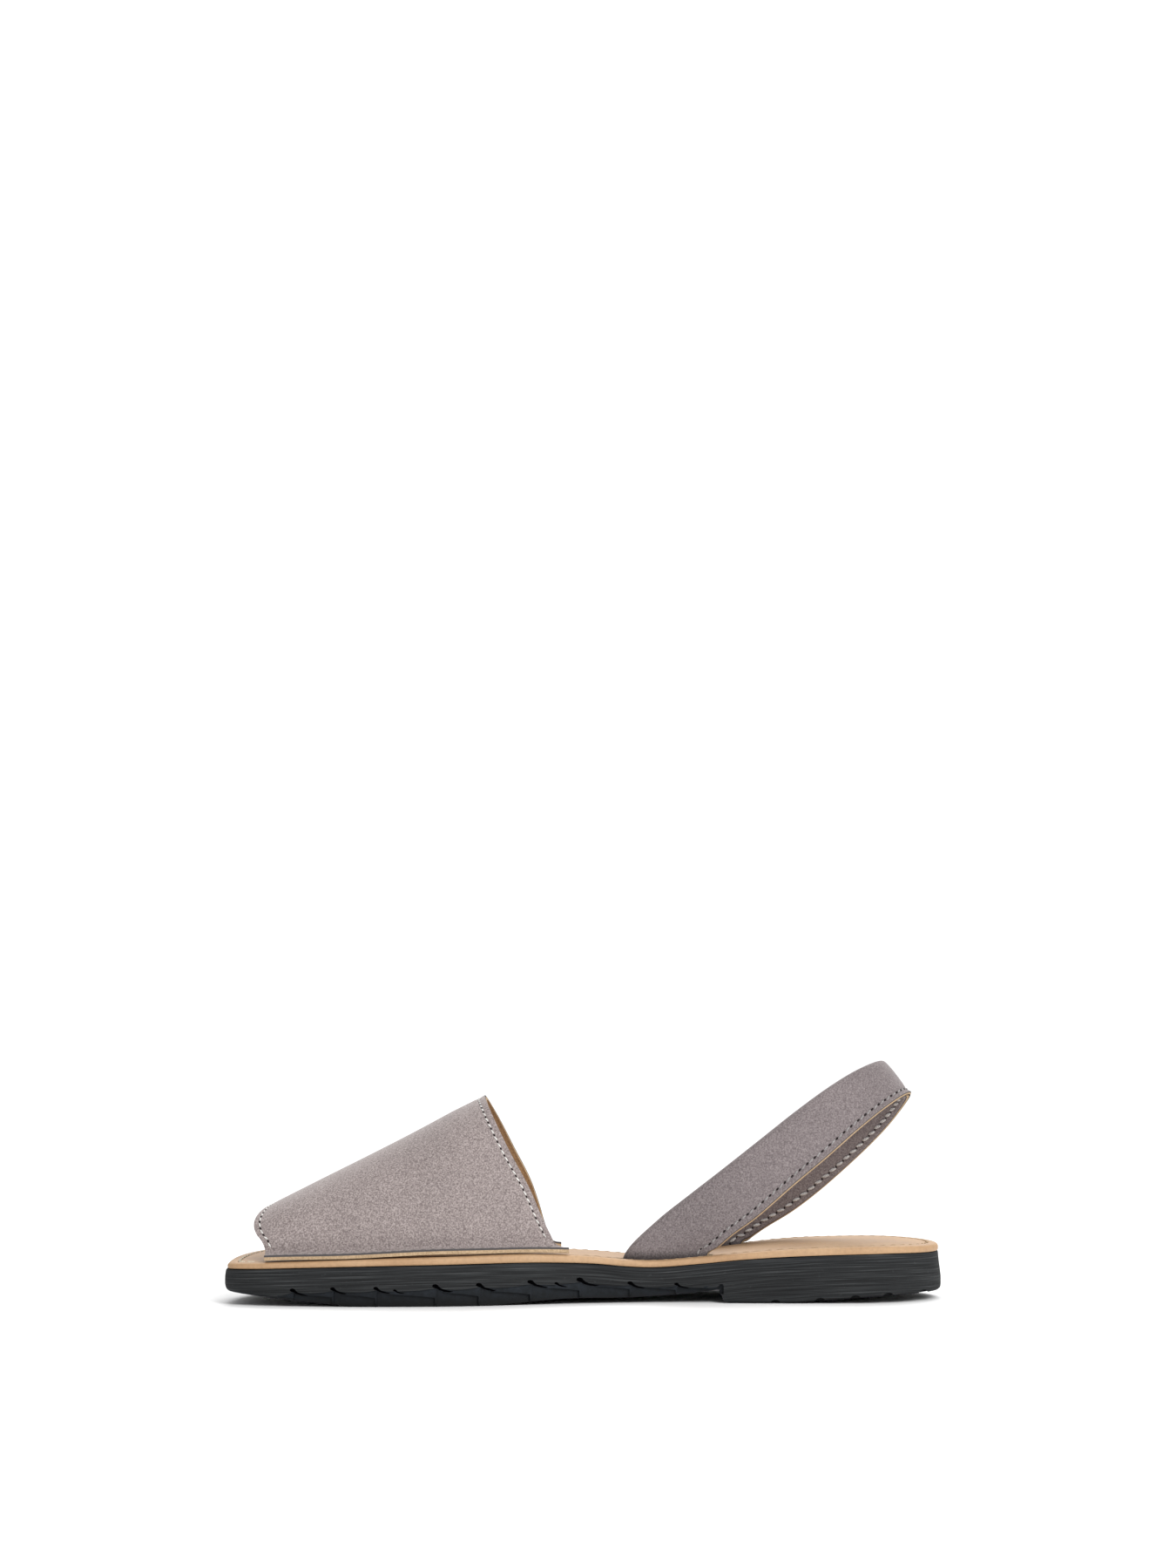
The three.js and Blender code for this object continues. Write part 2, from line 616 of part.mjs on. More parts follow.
// A point of the fold between wall (0) and margin (1), a quarter circle
function foldPoint(x, side, part) {
  const foot = wallFoot(x, side);
  const angle = (part * Math.PI) / 2;
  const y = foot.y + side * FOLD_RADIUS * (1 - Math.cos(angle));
  return new THREE.Vector3(x, y, foot.z - FOLD_RADIUS * Math.sin(angle));
}

// A point of the raw edge of the margin, flat on the insole
function marginPoint(x, side) {
  const y = edgeY(x, side) - side * (INSOLE_INSET + FLANGE_INSET);
  return new THREE.Vector3(x, y, insoleTop(x, y) + SEAT_GAP + VAMP_WALL);
}

// X of the throat edge at a turn, found by stepping towards the edge line
function throatX(turn) {
  let x = THROAT_EDGE[0].front * SOLE_LENGTH;
  for (let i = 0; i < 12; i += 1) {
    const rise = (archPoint(x, turn).z - INSOLE_LEVEL) / THROAT_RISE;
    x += 0.6 * (follow(THROAT_EDGE, 'rise', 'front', rise) * SOLE_LENGTH - x);
  }
  return x + SOLE_LENGTH * follow(THROAT_OUTER, 'turn', 'ahead', turn);
}

// Rows of the outer face from the inner margin to the outer one, each from the throat to the toe
function vampSurface() {
  const line = (back, front, point) => {
    const row = [];
    for (let i = 0; i <= VAMP_STEPS; i += 1) row.push(point(back + ((front - back) * i) / VAMP_STEPS));
    return row;
  };
  const margin = (side) => {
    const turn = side > 0 ? 0 : 1;
    const front = SOLE_LENGTH * follow(TOE_EDGE, 'turn', 'front', turn);
    const edge = (FLANGE_BACK_SHARE + (side > 0 ? 0 : FLANGE_OUTER_AHEAD)) * SOLE_LENGTH;
    const rows = [line(edge, front, (x) => marginPoint(x, side))];
    for (let i = FOLD_STEPS; i > 0; i -= 1) {
      const part = i / FOLD_STEPS;
      const back = edge + (throatX(turn) - edge) * (1 - part * FOLD_SWEEP);
      rows.push(line(back, front, (x) => foldPoint(x, side, part)));
    }
    return rows;
  };
  const arch = [];
  for (let r = 0; r <= ARCH_STEPS; r += 1) {
    const turn = r / ARCH_STEPS;
    const front = SOLE_LENGTH * follow(TOE_EDGE, 'turn', 'front', turn);
    arch.push(line(throatX(turn), front, (x) => archPoint(x, turn)));
  }
  return [...margin(1), ...arch, ...margin(-1).reverse()];
}

// Gives the outer face a wall, measured inwards along its normals
function thicken(grid, wall) {
  const rows = grid.length;
  const columns = grid[0].length;
  const normal = (r, c) => {
    const across = grid[Math.min(r + 1, rows - 1)][c].clone().sub(grid[Math.max(r - 1, 0)][c]);
    const along = grid[r][Math.min(c + 1, columns - 1)].clone().sub(grid[r][Math.max(c - 1, 0)]);
    return across.cross(along).normalize();
  };
  const outer = [];
  const inner = [];
  grid.forEach((line, r) => line.forEach((point, c) => {
    outer.push(point.toArray());
    inner.push(point.clone().addScaledVector(normal(r, c), -wall).toArray());
  }));
  const faces = [];
  const total = rows * columns;
  const at = (r, c) => r * columns + c;
  for (let r = 0; r < rows - 1; r += 1) {
    for (let c = 0; c < columns - 1; c += 1) {
      const p = at(r, c);
      const q = at(r + 1, c);
      const s = at(r + 1, c + 1);
      const t = at(r, c + 1);
      faces.push([p, q, s], [p, s, t], [total + p, total + s, total + q], [total + p, total + t, total + s]);
    }
  }
  const rim = [];
  for (let c = 0; c < columns - 1; c += 1) rim.push([at(0, c), at(0, c + 1)]);
  for (let r = 0; r < rows - 1; r += 1) rim.push([at(r, columns - 1), at(r + 1, columns - 1)]);
  for (let c = columns - 1; c > 0; c -= 1) rim.push([at(rows - 1, c), at(rows - 1, c - 1)]);
  for (let r = rows - 1; r > 0; r -= 1) rim.push([at(r, 0), at(r - 1, 0)]);
  rim.forEach(([a, b]) => faces.push([a, b, total + b], [a, total + b, total + a]));
  return toSolid([...outer, ...inner], faces);
}

function vamp() {
  return thicken(vampSurface(), VAMP_WALL);
}

// Assembly

function piece(name, solid, color, roughness) {
  const material = new THREE.MeshStandardMaterial({ color, roughness, metalness: 0 });
  const mesh = new THREE.Mesh(toGeometry(solid), material);
  mesh.name = name;
  return mesh;
}

const sandal = new THREE.Group();
sandal.add(
  piece('outsole', outsole(), 0x333b40, 0.75),
  piece('insole', insole(), 0xd3a77c, 0.65),
  piece('vamp', vamp(), 0x9c9292, 0.9),
  piece('heel_strap', heelStrap(), 0x938889, 0.9),
);

export default sandal;
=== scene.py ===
# %% [markdown]
# # A right avarca
# An avarca is a flat summer sandal. A broad leather vamp is sewn on a leather insole, a folded strap holds
# the heel, and everything stands on a one-piece rubber sole with a low heel.
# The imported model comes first. It is the frame: each piece made here takes the place of one of its nodes
# and keeps that node's sizes.

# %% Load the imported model
import math
import random

import bmesh
import bpy
from mathutils import Matrix, Vector


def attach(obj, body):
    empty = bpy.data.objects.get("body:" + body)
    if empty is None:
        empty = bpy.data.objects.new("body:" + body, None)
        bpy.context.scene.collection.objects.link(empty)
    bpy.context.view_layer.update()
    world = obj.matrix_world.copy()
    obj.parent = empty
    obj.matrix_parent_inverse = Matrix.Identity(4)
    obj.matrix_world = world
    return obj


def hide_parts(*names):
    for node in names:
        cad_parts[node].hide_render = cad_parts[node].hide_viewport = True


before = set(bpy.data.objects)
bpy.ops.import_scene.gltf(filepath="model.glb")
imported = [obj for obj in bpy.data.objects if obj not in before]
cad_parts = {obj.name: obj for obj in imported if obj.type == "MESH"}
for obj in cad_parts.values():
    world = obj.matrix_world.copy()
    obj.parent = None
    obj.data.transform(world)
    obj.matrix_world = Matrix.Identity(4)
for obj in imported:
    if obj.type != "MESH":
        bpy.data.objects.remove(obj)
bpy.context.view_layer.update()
print("nodes:", sorted(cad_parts))

# %% [markdown]
# ## The sandal's own measures
# A last and its patterns give a sandal its shape. Here they are short tables, in millimetres and in shares
# of the sole's length, and `follow` draws a smooth line through a column. Every surface, seam and hole
# below is placed with them, so the pieces agree with each other.

# %% Sizes
MM = 0.001
SOLE_LENGTH = 250.0
BALL_WIDTH = 90.0
HALF = SOLE_LENGTH / 2
GAP = 0.3
SOLE_THICKNESS = 13.5
TOE_SPRING = 4.6
WAIST_LIFT = 4.3
HEEL_SPRING = 3.0
HEEL_FRONT = 78.0 - HALF
HEEL_STEP = 0.8
SIDE_TILT = 0.04
INSOLE_THICKNESS = 2.6
INSOLE_INSET = 0.9
INSOLE_LEVEL = SOLE_THICKNESS + GAP + INSOLE_THICKNESS


def follow(rows, column, at):
    """A smooth line through the rows: the value of a column where the first column is at."""
    if at <= rows[0][0]:
        return rows[0][column]
    if at >= rows[-1][0]:
        return rows[-1][column]
    i = next(k for k in range(len(rows) - 1) if rows[k + 1][0] >= at)

    def tangent(k):
        a, b = max(k - 1, 0), min(k + 1, len(rows) - 1)
        return (rows[b][column] - rows[a][column]) / (rows[b][0] - rows[a][0])

    span = rows[i + 1][0] - rows[i][0]
    t = (at - rows[i][0]) / span
    return ((2 * t**3 - 3 * t**2 + 1) * rows[i][column] + (t**3 - 2 * t**2 + t) * span * tangent(i)
            + (3 * t**2 - 2 * t**3) * rows[i + 1][column] + (t**3 - t**2) * span * tangent(i + 1))


def ease(t):
    t = min(1.0, max(0.0, t))
    return t * t * (3 - 2 * t)


def hump(distance, width):
    """A soft bell: 1 at the middle, and near 0 at two widths from it."""
    return math.exp(-(distance / width) ** 2)

# %% Plan and profile of the sole
# share of the length from the heel, inner side, outer side
PLAN = [(0.00, 0.330, 0.335), (0.12, 0.338, 0.342), (0.26, 0.325, 0.350), (0.40, 0.308, 0.372),
        (0.49, 0.342, 0.402), (0.58, 0.412, 0.455), (0.69, 0.482, 0.500), (0.80, 0.500, 0.488),
        (0.90, 0.482, 0.450), (1.00, 0.440, 0.410)]
TIP = 0.33 * BALL_WIDTH
HEEL_ROUND = (0.13, 2.15)
TOE_INNER_ROUND = (0.075, 2.3)
TOE_OUTER_ROUND = (0.26, 2.7)
# share, top of the rubber, insole thickness, lean to the outer side
PROFILE = [(0.00, 1.20, 1.00, 0.0), (0.08, 1.23, 1.00, 0.0), (0.20, 1.17, 1.00, 0.0), (0.28, 1.08, 0.95, 0.3),
           (0.34, 0.97, 0.90, 0.4), (0.40, 0.88, 0.90, 0.6), (0.44, 0.90, 0.90, 0.8), (0.49, 0.99, 1.00, 1.0),
           (0.55, 1.04, 1.10, 1.0), (0.60, 1.05, 1.15, 0.6), (0.68, 1.03, 1.05, 0.1), (0.78, 1.00, 0.97, 0.0),
           (0.90, 0.94, 0.85, -0.2), (1.00, 0.87, 0.78, -0.5)]
# share, toe spring, waist lift, heel spring
UNDERSIDE = [(0.00, 0.00, 0.0, 1.00), (0.08, 0.00, 0.0, 0.80), (0.16, 0.00, 0.0, 0.35), (0.22, 0.00, 0.0, 0.0),
             (0.30, 0.00, 1.0, 0.0), (0.36, 0.00, 0.70, 0.0), (0.44, 0.00, 0.42, 0.0), (0.53, 0.00, 0.40, 0.0),
             (0.60, 0.00, 0.12, 0.0), (0.65, 0.00, 0.0, 0.0), (0.80, 0.00, 0.0, 0.0), (0.88, 0.30, 0.0, 0.0),
             (0.95, 0.70, 0.0, 0.0), (1.00, 1.00, 0.0, 0.0)]


def share(x):
    """Place along the sole: 0 at the heel, 1 at the toe."""
    return x / SOLE_LENGTH + 0.5


def rounding(distance, form):
    if distance >= form[0]:
        return 1.0
    return max(0.0, 1 - (1 - distance / form[0]) ** form[1]) ** (1 / form[1])


def edge_y(x, side):
    """Y of the rubber's edge at x, on the inner (+1) or outer (-1) side."""
    along = min(1.0, max(0.0, share(x)))
    full = side * BALL_WIDTH * follow(PLAN, 1 if side > 0 else 2, along)
    toe = rounding(1 - along, TOE_INNER_ROUND if side > 0 else TOE_OUTER_ROUND)
    return TIP + (full * rounding(along, HEEL_ROUND) - TIP) * toe


def rubber_top(x, y):
    at = share(x)
    return SOLE_THICKNESS * follow(PROFILE, 1, at) + SIDE_TILT * follow(PROFILE, 3, at) * (y - edge_y(x, 1))


def rubber_bottom(x):
    at = share(x)
    if x <= HEEL_FRONT:
        return HEEL_SPRING * max(0.0, follow(UNDERSIDE, 3, at))
    return WAIST_LIFT * max(0.0, follow(UNDERSIDE, 2, at)) + TOE_SPRING * max(0.0, follow(UNDERSIDE, 1, at))


def insole_top(x, y):
    return rubber_top(x, y) + GAP + INSOLE_THICKNESS * follow(PROFILE, 2, share(x))


def stations(heel=22, seat=26, waist=78, toe=44):
    """Places along the sole, closer together where its ends turn."""
    heel_turn = SOLE_LENGTH * HEEL_ROUND[0]
    toe_turn = SOLE_LENGTH * TOE_OUTER_ROUND[0]
    xs = [heel_turn * (1 - math.cos(i / heel * math.pi / 2)) - HALF for i in range(heel)]
    start = heel_turn - HALF
    xs += [start + (HEEL_FRONT - start) * i / seat for i in range(seat + 1)]
    front, end = HEEL_FRONT + HEEL_STEP, HALF - toe_turn
    xs += [front + (end - front) * i / waist for i in range(waist)]
    xs += [HALF - toe_turn * (1 - math.cos(i / toe * math.pi / 2)) for i in range(toe, -1, -1)]
    return xs


STATIONS = stations()


def ring(inset):
    """The sole's outline as plan points, moved inwards by inset(x)."""
    loop = [(x, edge_y(x, 1)) for x in STATIONS]
    loop += [(x, edge_y(x, -1)) for x in reversed(STATIONS[1:-1])]
    points = []
    for i, (x, y) in enumerate(loop):
        before, after = loop[i - 1], loop[(i + 1) % len(loop)]
        dx, dy = after[0] - before[0], after[1] - before[1]
        size = math.hypot(dx, dy)
        points.append((x + dy / size * inset(x), y - dx / size * inset(x)))
    return points


ball_width, heel_width = (round(edge_y(x, 1) - edge_y(x, -1), 1) for x in (62, -85))
print("ball", ball_width, "mm, heel", heel_width, "mm,", len(ring(lambda x: 0)), "points round the sole")

# %% [markdown]
# ## Tools of the bench
# A few small helpers stand for what hands do over and over: select one thing, place the points of a grid on
# a surface, raise an outline ring by ring, cut with a cutter, and finish with a modifier.

# %% Selecting and finishing
random.seed(11)


def deselect():
    if bpy.context.object and bpy.context.object.mode != "OBJECT":
        bpy.ops.object.mode_set(mode="OBJECT")
    bpy.ops.object.select_all(action="DESELECT")


def only(piece):
    deselect()
    piece.select_set(True)
    bpy.context.view_layer.objects.active = piece


def finish_with(piece, kind, **settings):
    only(piece)
    step = piece.modifiers.new(kind.title(), kind)
    for name, value in settings.items():
        setattr(step, name, value)
    bpy.ops.object.modifier_apply(modifier=step.name)


def named(piece, name):
    piece.name = name
    piece.data.name = name
    return piece


def edit(piece):
    only(piece)
    bpy.ops.object.mode_set(mode="EDIT")
    bpy.ops.mesh.select_all(action="SELECT")


def done(piece):
    bpy.ops.object.mode_set(mode="OBJECT")
    return piece


def smooth(piece, degrees):
    only(piece)
    bpy.ops.object.shade_smooth_by_angle(angle=math.radians(degrees))


def report(piece):
    piece.data.calc_loop_triangles()
    edges = bmesh.new()
    edges.from_mesh(piece.data)
    open_edges = sum(1 for e in edges.edges if not e.is_manifold)
    edges.free()
    print(f"{piece.name}: {len(piece.data.loop_triangles)} triangles, {open_edges} open edges")

# %% Grids and rings
def wrapped_grid(name, columns, rows, place, closed=False, part=None, skin=None):
    """A grid primitive with each point placed by place(column, row), in millimetres. part(column, row) picks
    a face's finish, and skin(column, row) says how near a point is to the grain side."""
    deselect()
    bpy.ops.mesh.primitive_grid_add(x_subdivisions=columns, y_subdivisions=rows, size=1)
    piece = named(bpy.context.object, name)
    mesh = piece.data
    places = [(round((v.co.x + 0.5) * columns), round((v.co.y + 0.5) * rows)) for v in mesh.vertices]
    if part:
        for face in mesh.polygons:
            corner = [min(places[v][k] for v in face.vertices) for k in (0, 1)]
            face.material_index = part(*corner)
    if skin:
        mesh.attributes.new("skin", "FLOAT", "POINT")
        for value, (i, j) in zip(mesh.attributes["skin"].data, places):
            value.value = skin(i, j)
    for v, (i, j) in zip(mesh.vertices, places):
        v.co = Vector(place(i, j)) * MM
    if closed:
        edit(piece)
        bpy.ops.mesh.remove_doubles(threshold=1e-6)
        done(piece)
    return piece


def raised_rings(name, rings):
    """An outline raised ring by ring, closed with strips at the bottom and the top. Its UV map runs along
    the side: the way round, and the depth under the top edge, both in metres."""
    deselect()
    count = len(rings[0])
    bpy.ops.mesh.primitive_circle_add(vertices=count, radius=0.1)
    piece = named(bpy.context.object, name)
    piece.data.attributes.new("at", "INT", "POINT")
    piece.data.attributes.new("level", "INT", "POINT")
    for i, v in enumerate(piece.data.vertices):
        v.co = Vector(rings[0][i]) * MM
        piece.data.attributes["at"].data[i].value = i
    edit(piece)
    for level, points in enumerate(rings[1:], 1):
        bpy.ops.mesh.extrude_edges_move()
        mesh = bmesh.from_edit_mesh(piece.data)
        at, height = mesh.verts.layers.int["at"], mesh.verts.layers.int["level"]
        for v in mesh.verts:
            if v.select:
                v.co = Vector(points[v[at]]) * MM
                v[height] = level
    n = len(STATIONS)
    for level in (0, len(rings) - 1):
        edge = {v[at]: v for v in mesh.verts if v[height] == level}
        for i in range(n - 1):
            corners = dict.fromkeys([i, i + 1, (count - i - 1) % count, (count - i) % count])
            mesh.faces.new([edge[c] for c in corners])
    length = [0.0]
    for i in range(1, count + 1):
        a, b = rings[0][i - 1], rings[0][i % count]
        length.append(length[-1] + math.hypot(a[0] - b[0], a[1] - b[1]) * MM)
    side = mesh.loops.layers.uv.verify()
    for face in mesh.faces:
        last = any(v[at] == count - 1 for v in face.verts)
        for loop in face.loops:
            i = loop.vert[at]
            x, y, z = (c / MM for c in loop.vert.co)
            loop[side].uv = (length[count if last and i == 0 else i], (z - rubber_top(x, y)) * MM)
    bpy.ops.mesh.select_all(action="SELECT")
    bpy.ops.mesh.normals_make_consistent(inside=False)
    bmesh.update_edit_mesh(piece.data)
    return done(piece)


def prism(name, outline, low, high, axis):
    """A cutter: a flat outline pulled straight through, along y for a side cut and along z for a plan cut."""
    deselect()
    bpy.ops.mesh.primitive_circle_add(vertices=len(outline), radius=0.1, fill_type="NGON")
    piece = named(bpy.context.object, name)
    for v, (a, b) in zip(piece.data.vertices, outline):
        v.co = Vector((a, low, b) if axis == "y" else (a, b, low)) * MM
    pull = Vector((0, high - low, 0) if axis == "y" else (0, 0, high - low)) * MM
    edit(piece)
    bpy.ops.mesh.extrude_region_move(TRANSFORM_OT_translate={"value": pull})
    bpy.ops.mesh.select_all(action="SELECT")
    bpy.ops.mesh.normals_make_consistent(inside=False)
    return done(piece)


def cut(piece, cutter, way="DIFFERENCE"):
    finish_with(piece, "BOOLEAN", operation=way, solver="MANIFOLD", object=cutter, material_mode="TRANSFER")
    bpy.data.objects.remove(cutter, do_unlink=True)

# %% [markdown]
# ## Finishes
# Each finish is built from noise in real millimetres. Nubuck is a sanded grain side: its short nap catches
# the light as fine light and dark specks. The insole leather is smooth with small pores, and a cut edge or
# a flesh side shows loose fibres. Sanding left long fine scratches round the rubber, which a map that runs
# along the side carries.

# %% Helpers for finishes
def finish(name, color, roughness, specular=0.5):
    material = bpy.data.materials.new(name)
    material.use_nodes = True
    shader = material.node_tree.nodes["Principled BSDF"]
    shader.inputs["Base Color"].default_value = (*color, 1)
    shader.inputs["Roughness"].default_value = roughness
    shader.inputs["Specular IOR Level"].default_value = specular
    return material


def dress(piece, *materials):
    """Gives a piece these finishes, in the order of its face numbers."""
    for material in materials:
        piece.data.materials.append(material)


def node(material, kind, inputs=(), **settings):
    made = material.node_tree.nodes.new(kind)
    for name, value in settings.items():
        setattr(made, name, value)
    for name, value in dict(inputs).items():
        if hasattr(value, "is_output"):
            material.node_tree.links.new(value, made.inputs[name])
        else:
            made.inputs[name].default_value = value
    return made


def place_of(material, source="Object", scale=(1, 1, 1)):
    where = node(material, "ShaderNodeTexCoord").outputs[source]
    return node(material, "ShaderNodeMapping", {"Vector": where, "Scale": scale}).outputs["Vector"]


def height_of(material, scale):
    """Height over the floor in metres, times scale."""
    where = place_of(material, scale=(1, 1, scale))
    return node(material, "ShaderNodeSeparateXYZ", {"Vector": where}).outputs["Z"]


def noise(material, where, scale, detail=3.0, rough=0.55, lacunarity=2.0):
    return node(material, "ShaderNodeTexNoise", {"Vector": where, "Scale": scale, "Detail": detail,
                "Roughness": rough, "Lacunarity": lacunarity}).outputs["Fac"]


def ramp(material, value, *stops):
    made = node(material, "ShaderNodeValToRGB", {"Fac": value})
    while len(made.color_ramp.elements) < len(stops):
        made.color_ramp.elements.new(0.5)
    for element, (at, color) in zip(made.color_ramp.elements, stops):
        element.position = at
        element.color = (*color, 1) if len(color) == 3 else (color[0],) * 3 + (1,)
    return made.outputs["Color"]


def blend_of(material, how, amount, a, b):
    made = node(material, "ShaderNodeMix", data_type="RGBA", blend_type=how)
    for socket, value in ((made.inputs[0], amount), (made.inputs[6], a), (made.inputs[7], b)):
        if hasattr(value, "is_output"):
            material.node_tree.links.new(value, socket)
        else:
            socket.default_value = value
    return made.outputs[2]


def bump(material, height, depth, strength=1.0, under=None):
    """Relief of this real depth in metres."""
    inputs = {"Height": height, "Distance": depth, "Strength": strength}
    if under is not None:
        inputs["Normal"] = under
    return node(material, "ShaderNodeBump", inputs).outputs["Normal"]


def wire(material, **sockets):
    shader = material.node_tree.nodes["Principled BSDF"]
    for name, value in sockets.items():
        material.node_tree.links.new(value, shader.inputs[name.replace("_", " ")])

# %% Nubuck, flesh side and cut leather
def nubuck_finish(name, dark, middle, light, painted_foot_shade=False):
    """Sanded leather. Its last argument adds painted shade: the colour darkens in the last few millimetres over the
    insole, where the slot's shadow falls.
    """
    material = finish(name, middle, 0.95, 0.25)
    where = place_of(material)
    speck = noise(material, where, 1900, 2.0, 0.6)
    nap = noise(material, where, 4800, 2.0)
    broad = noise(material, where, 26, 3.0)
    color = ramp(material, speck, (0.33, dark), (0.50, middle), (0.68, light))
    shade = ramp(material, broad, (0.3, (0.86,)), (0.7, (1.0,)))
    color = blend_of(material, "MULTIPLY", 1.0, color, shade)
    if painted_foot_shade:
        # painted shade: darker towards the insole, standing in for the slot's shadow on the strap's feet
        shade = ramp(material, height_of(material, 40), (0.60, (0.32,)), (0.72, (1.0,)))
        color = blend_of(material, "MULTIPLY", 1.0, color, shade)
    relief = bump(material, nap, 0.00005, 0.6, bump(material, speck, 0.00008, 0.6))
    wire(material, Base_Color=color, Normal=relief)
    shader = material.node_tree.nodes["Principled BSDF"]
    shader.inputs["Sheen Weight"].default_value = 0.25
    shader.inputs["Sheen Roughness"].default_value = 0.5
    shader.inputs["Sheen Tint"].default_value = (0.9, 0.86, 0.84, 1)
    return material


nubuck = nubuck_finish("nubuck", (0.170, 0.138, 0.134), (0.285, 0.240, 0.232), (0.430, 0.372, 0.357))
# The strap's nubuck carries painted shade at its feet over the insole.
folded_nubuck = nubuck_finish("folded_nubuck", (0.125, 0.104, 0.106), (0.190, 0.160, 0.162), (0.270, 0.234, 0.233),
                              painted_foot_shade=True)


def fibrous(name, dark, light, grain=None):
    """Flesh side or cut edge: short loose fibres. With grain, the skin's edge shows as a thin grey line."""
    material = finish(name, light, 0.95, 0.2)
    where = place_of(material)
    fibre = noise(material, where, 1600, 5.0, 0.7)
    broad = noise(material, where, 60, 2.0)
    color = ramp(material, fibre, (0.32, dark), (0.62, light))
    color = blend_of(material, "MULTIPLY", 1.0, color, ramp(material, broad, (0.3, (0.84,)), (0.7, (1.0,))))
    if grain:
        skin = node(material, "ShaderNodeAttribute", attribute_name="skin").outputs["Fac"]
        line = ramp(material, skin, (0.58, (0.0,)), (0.66, (1.0,)))
        color = blend_of(material, "MIX", line, color, (*grain, 1))
    wire(material, Base_Color=color, Normal=bump(material, fibre, 0.00012, 0.8))
    return material


flesh_side = fibrous("flesh_side", (0.22, 0.125, 0.062), (0.39, 0.24, 0.125))
cut_leather = fibrous("cut_leather", (0.33, 0.225, 0.13), (0.54, 0.395, 0.25), grain=(0.075, 0.068, 0.070))
slot_leather = fibrous("slot_leather", (0.24, 0.19, 0.14), (0.55, 0.46, 0.33))
seam_shadow = finish("seam_shadow", (0.03, 0.022, 0.018), 0.95, 0.1)

# %% Insole leather
tan_leather = finish("tan_leather", (0.62, 0.38, 0.2), 0.55, 0.35)
where = place_of(tan_leather)
cloud = noise(tan_leather, where, 45, 4.0, 0.6)
grain = noise(tan_leather, where, 900, 4.0, 0.6)
pores = node(tan_leather, "ShaderNodeTexVoronoi", {"Vector": where, "Scale": 1500.0}).outputs["Distance"]
color = ramp(tan_leather, cloud, (0.3, (0.405, 0.243, 0.128)), (0.55, (0.467, 0.295, 0.163)),
             (0.75, (0.515, 0.338, 0.198)))
color = blend_of(tan_leather, "MULTIPLY", 1.0, color, ramp(tan_leather, grain, (0.3, (0.86,)), (0.6, (1.0,))))
relief = bump(tan_leather, grain, 0.00007, 0.7, bump(tan_leather, pores, 0.00005, 0.5))
rough = ramp(tan_leather, cloud, (0.3, (0.48,)), (0.7, (0.64,)))
wire(tan_leather, Base_Color=color, Normal=relief, Roughness=rough)

# %% Rubber, as sanded and as moulded
sanded_rubber = finish("sanded_rubber", (0.02, 0.024, 0.027), 0.8, 0.18)
run = place_of(sanded_rubber, "UV", (34, 2300, 1))
long_run = place_of(sanded_rubber, "UV", (7, 300, 1))
scratch = noise(sanded_rubber, run, 1.0, 4.0, 0.6)
band_shade = noise(sanded_rubber, long_run, 1.0, 3.0, 0.6)
dust = noise(sanded_rubber, place_of(sanded_rubber), 700, 4.0, 0.7)
color = ramp(sanded_rubber, scratch, (0.30, (0.0075, 0.0078, 0.0085)), (0.47, (0.0165, 0.0175, 0.0185)),
             (0.60, (0.032, 0.034, 0.0355)), (0.74, (0.080, 0.084, 0.086)))
shade = ramp(sanded_rubber, band_shade, (0.3, (0.80,)), (0.65, (1.0,)))
color = blend_of(sanded_rubber, "MULTIPLY", 1.0, color, shade)
color = blend_of(sanded_rubber, "ADD", ramp(sanded_rubber, dust, (0.62, (0.0,)), (0.80, (0.3,))), color,
                 (0.07, 0.075, 0.078, 1))
wire(sanded_rubber, Base_Color=color, Normal=bump(sanded_rubber, scratch, 0.00012, 0.6))
moulded_rubber = finish("moulded_rubber", (0.005, 0.007, 0.010), 0.55, 0.2)
# The nicks' rubber is painted near black: painted shade inside the deep little hooks.
nick_shade_rubber = finish("nick_shade_rubber", (0.002, 0.002, 0.003), 0.9, 0.05)
skin_noise = noise(moulded_rubber, place_of(moulded_rubber), 420, 4.0, 0.6)
color = ramp(moulded_rubber, skin_noise, (0.3, (0.003, 0.005, 0.007)), (0.7, (0.011, 0.015, 0.021)))
# painted shade: the moulded rubber darkens towards the floor, standing in for the shade under the sole
painted_floor_shade = ramp(moulded_rubber, height_of(moulded_rubber, 150), (0.1, (0.12,)), (0.85, (1.0,)))
color = blend_of(moulded_rubber, "MULTIPLY", 1.0, color, painted_floor_shade)
wire(moulded_rubber, Base_Color=color, Normal=bump(moulded_rubber, skin_noise, 0.00012, 0.6))

# %% Thread and needle holes
def thread_finish(name, dark, light):
    material = finish(name, light, 0.8, 0.25)
    ply = noise(material, place_of(material), 3000, 2.0)
    wire(material, Base_Color=ramp(material, ply, (0.35, dark), (0.62, light)),
         Normal=bump(material, ply, 0.00006, 0.8))
    return material


pale_thread = thread_finish("pale_thread", (0.42, 0.40, 0.38), (0.80, 0.78, 0.75))
cream_thread = thread_finish("cream_thread", (0.40, 0.34, 0.25), (0.72, 0.65, 0.52))
tan_thread = thread_finish("tan_thread", (0.26, 0.175, 0.10), (0.45, 0.32, 0.20))
# The strap's seam is one thread: its outer face gets this darker copy as painted shade in the recessed seam.
shaded_strap_thread = thread_finish("shaded_strap_thread", (0.18, 0.165, 0.165), (0.36, 0.34, 0.335))
silver_thread = thread_finish("silver_thread", (0.29, 0.28, 0.275), (0.60, 0.58, 0.565))
dark_thread = thread_finish("dark_thread", (0.045, 0.04, 0.042), (0.105, 0.098, 0.1))
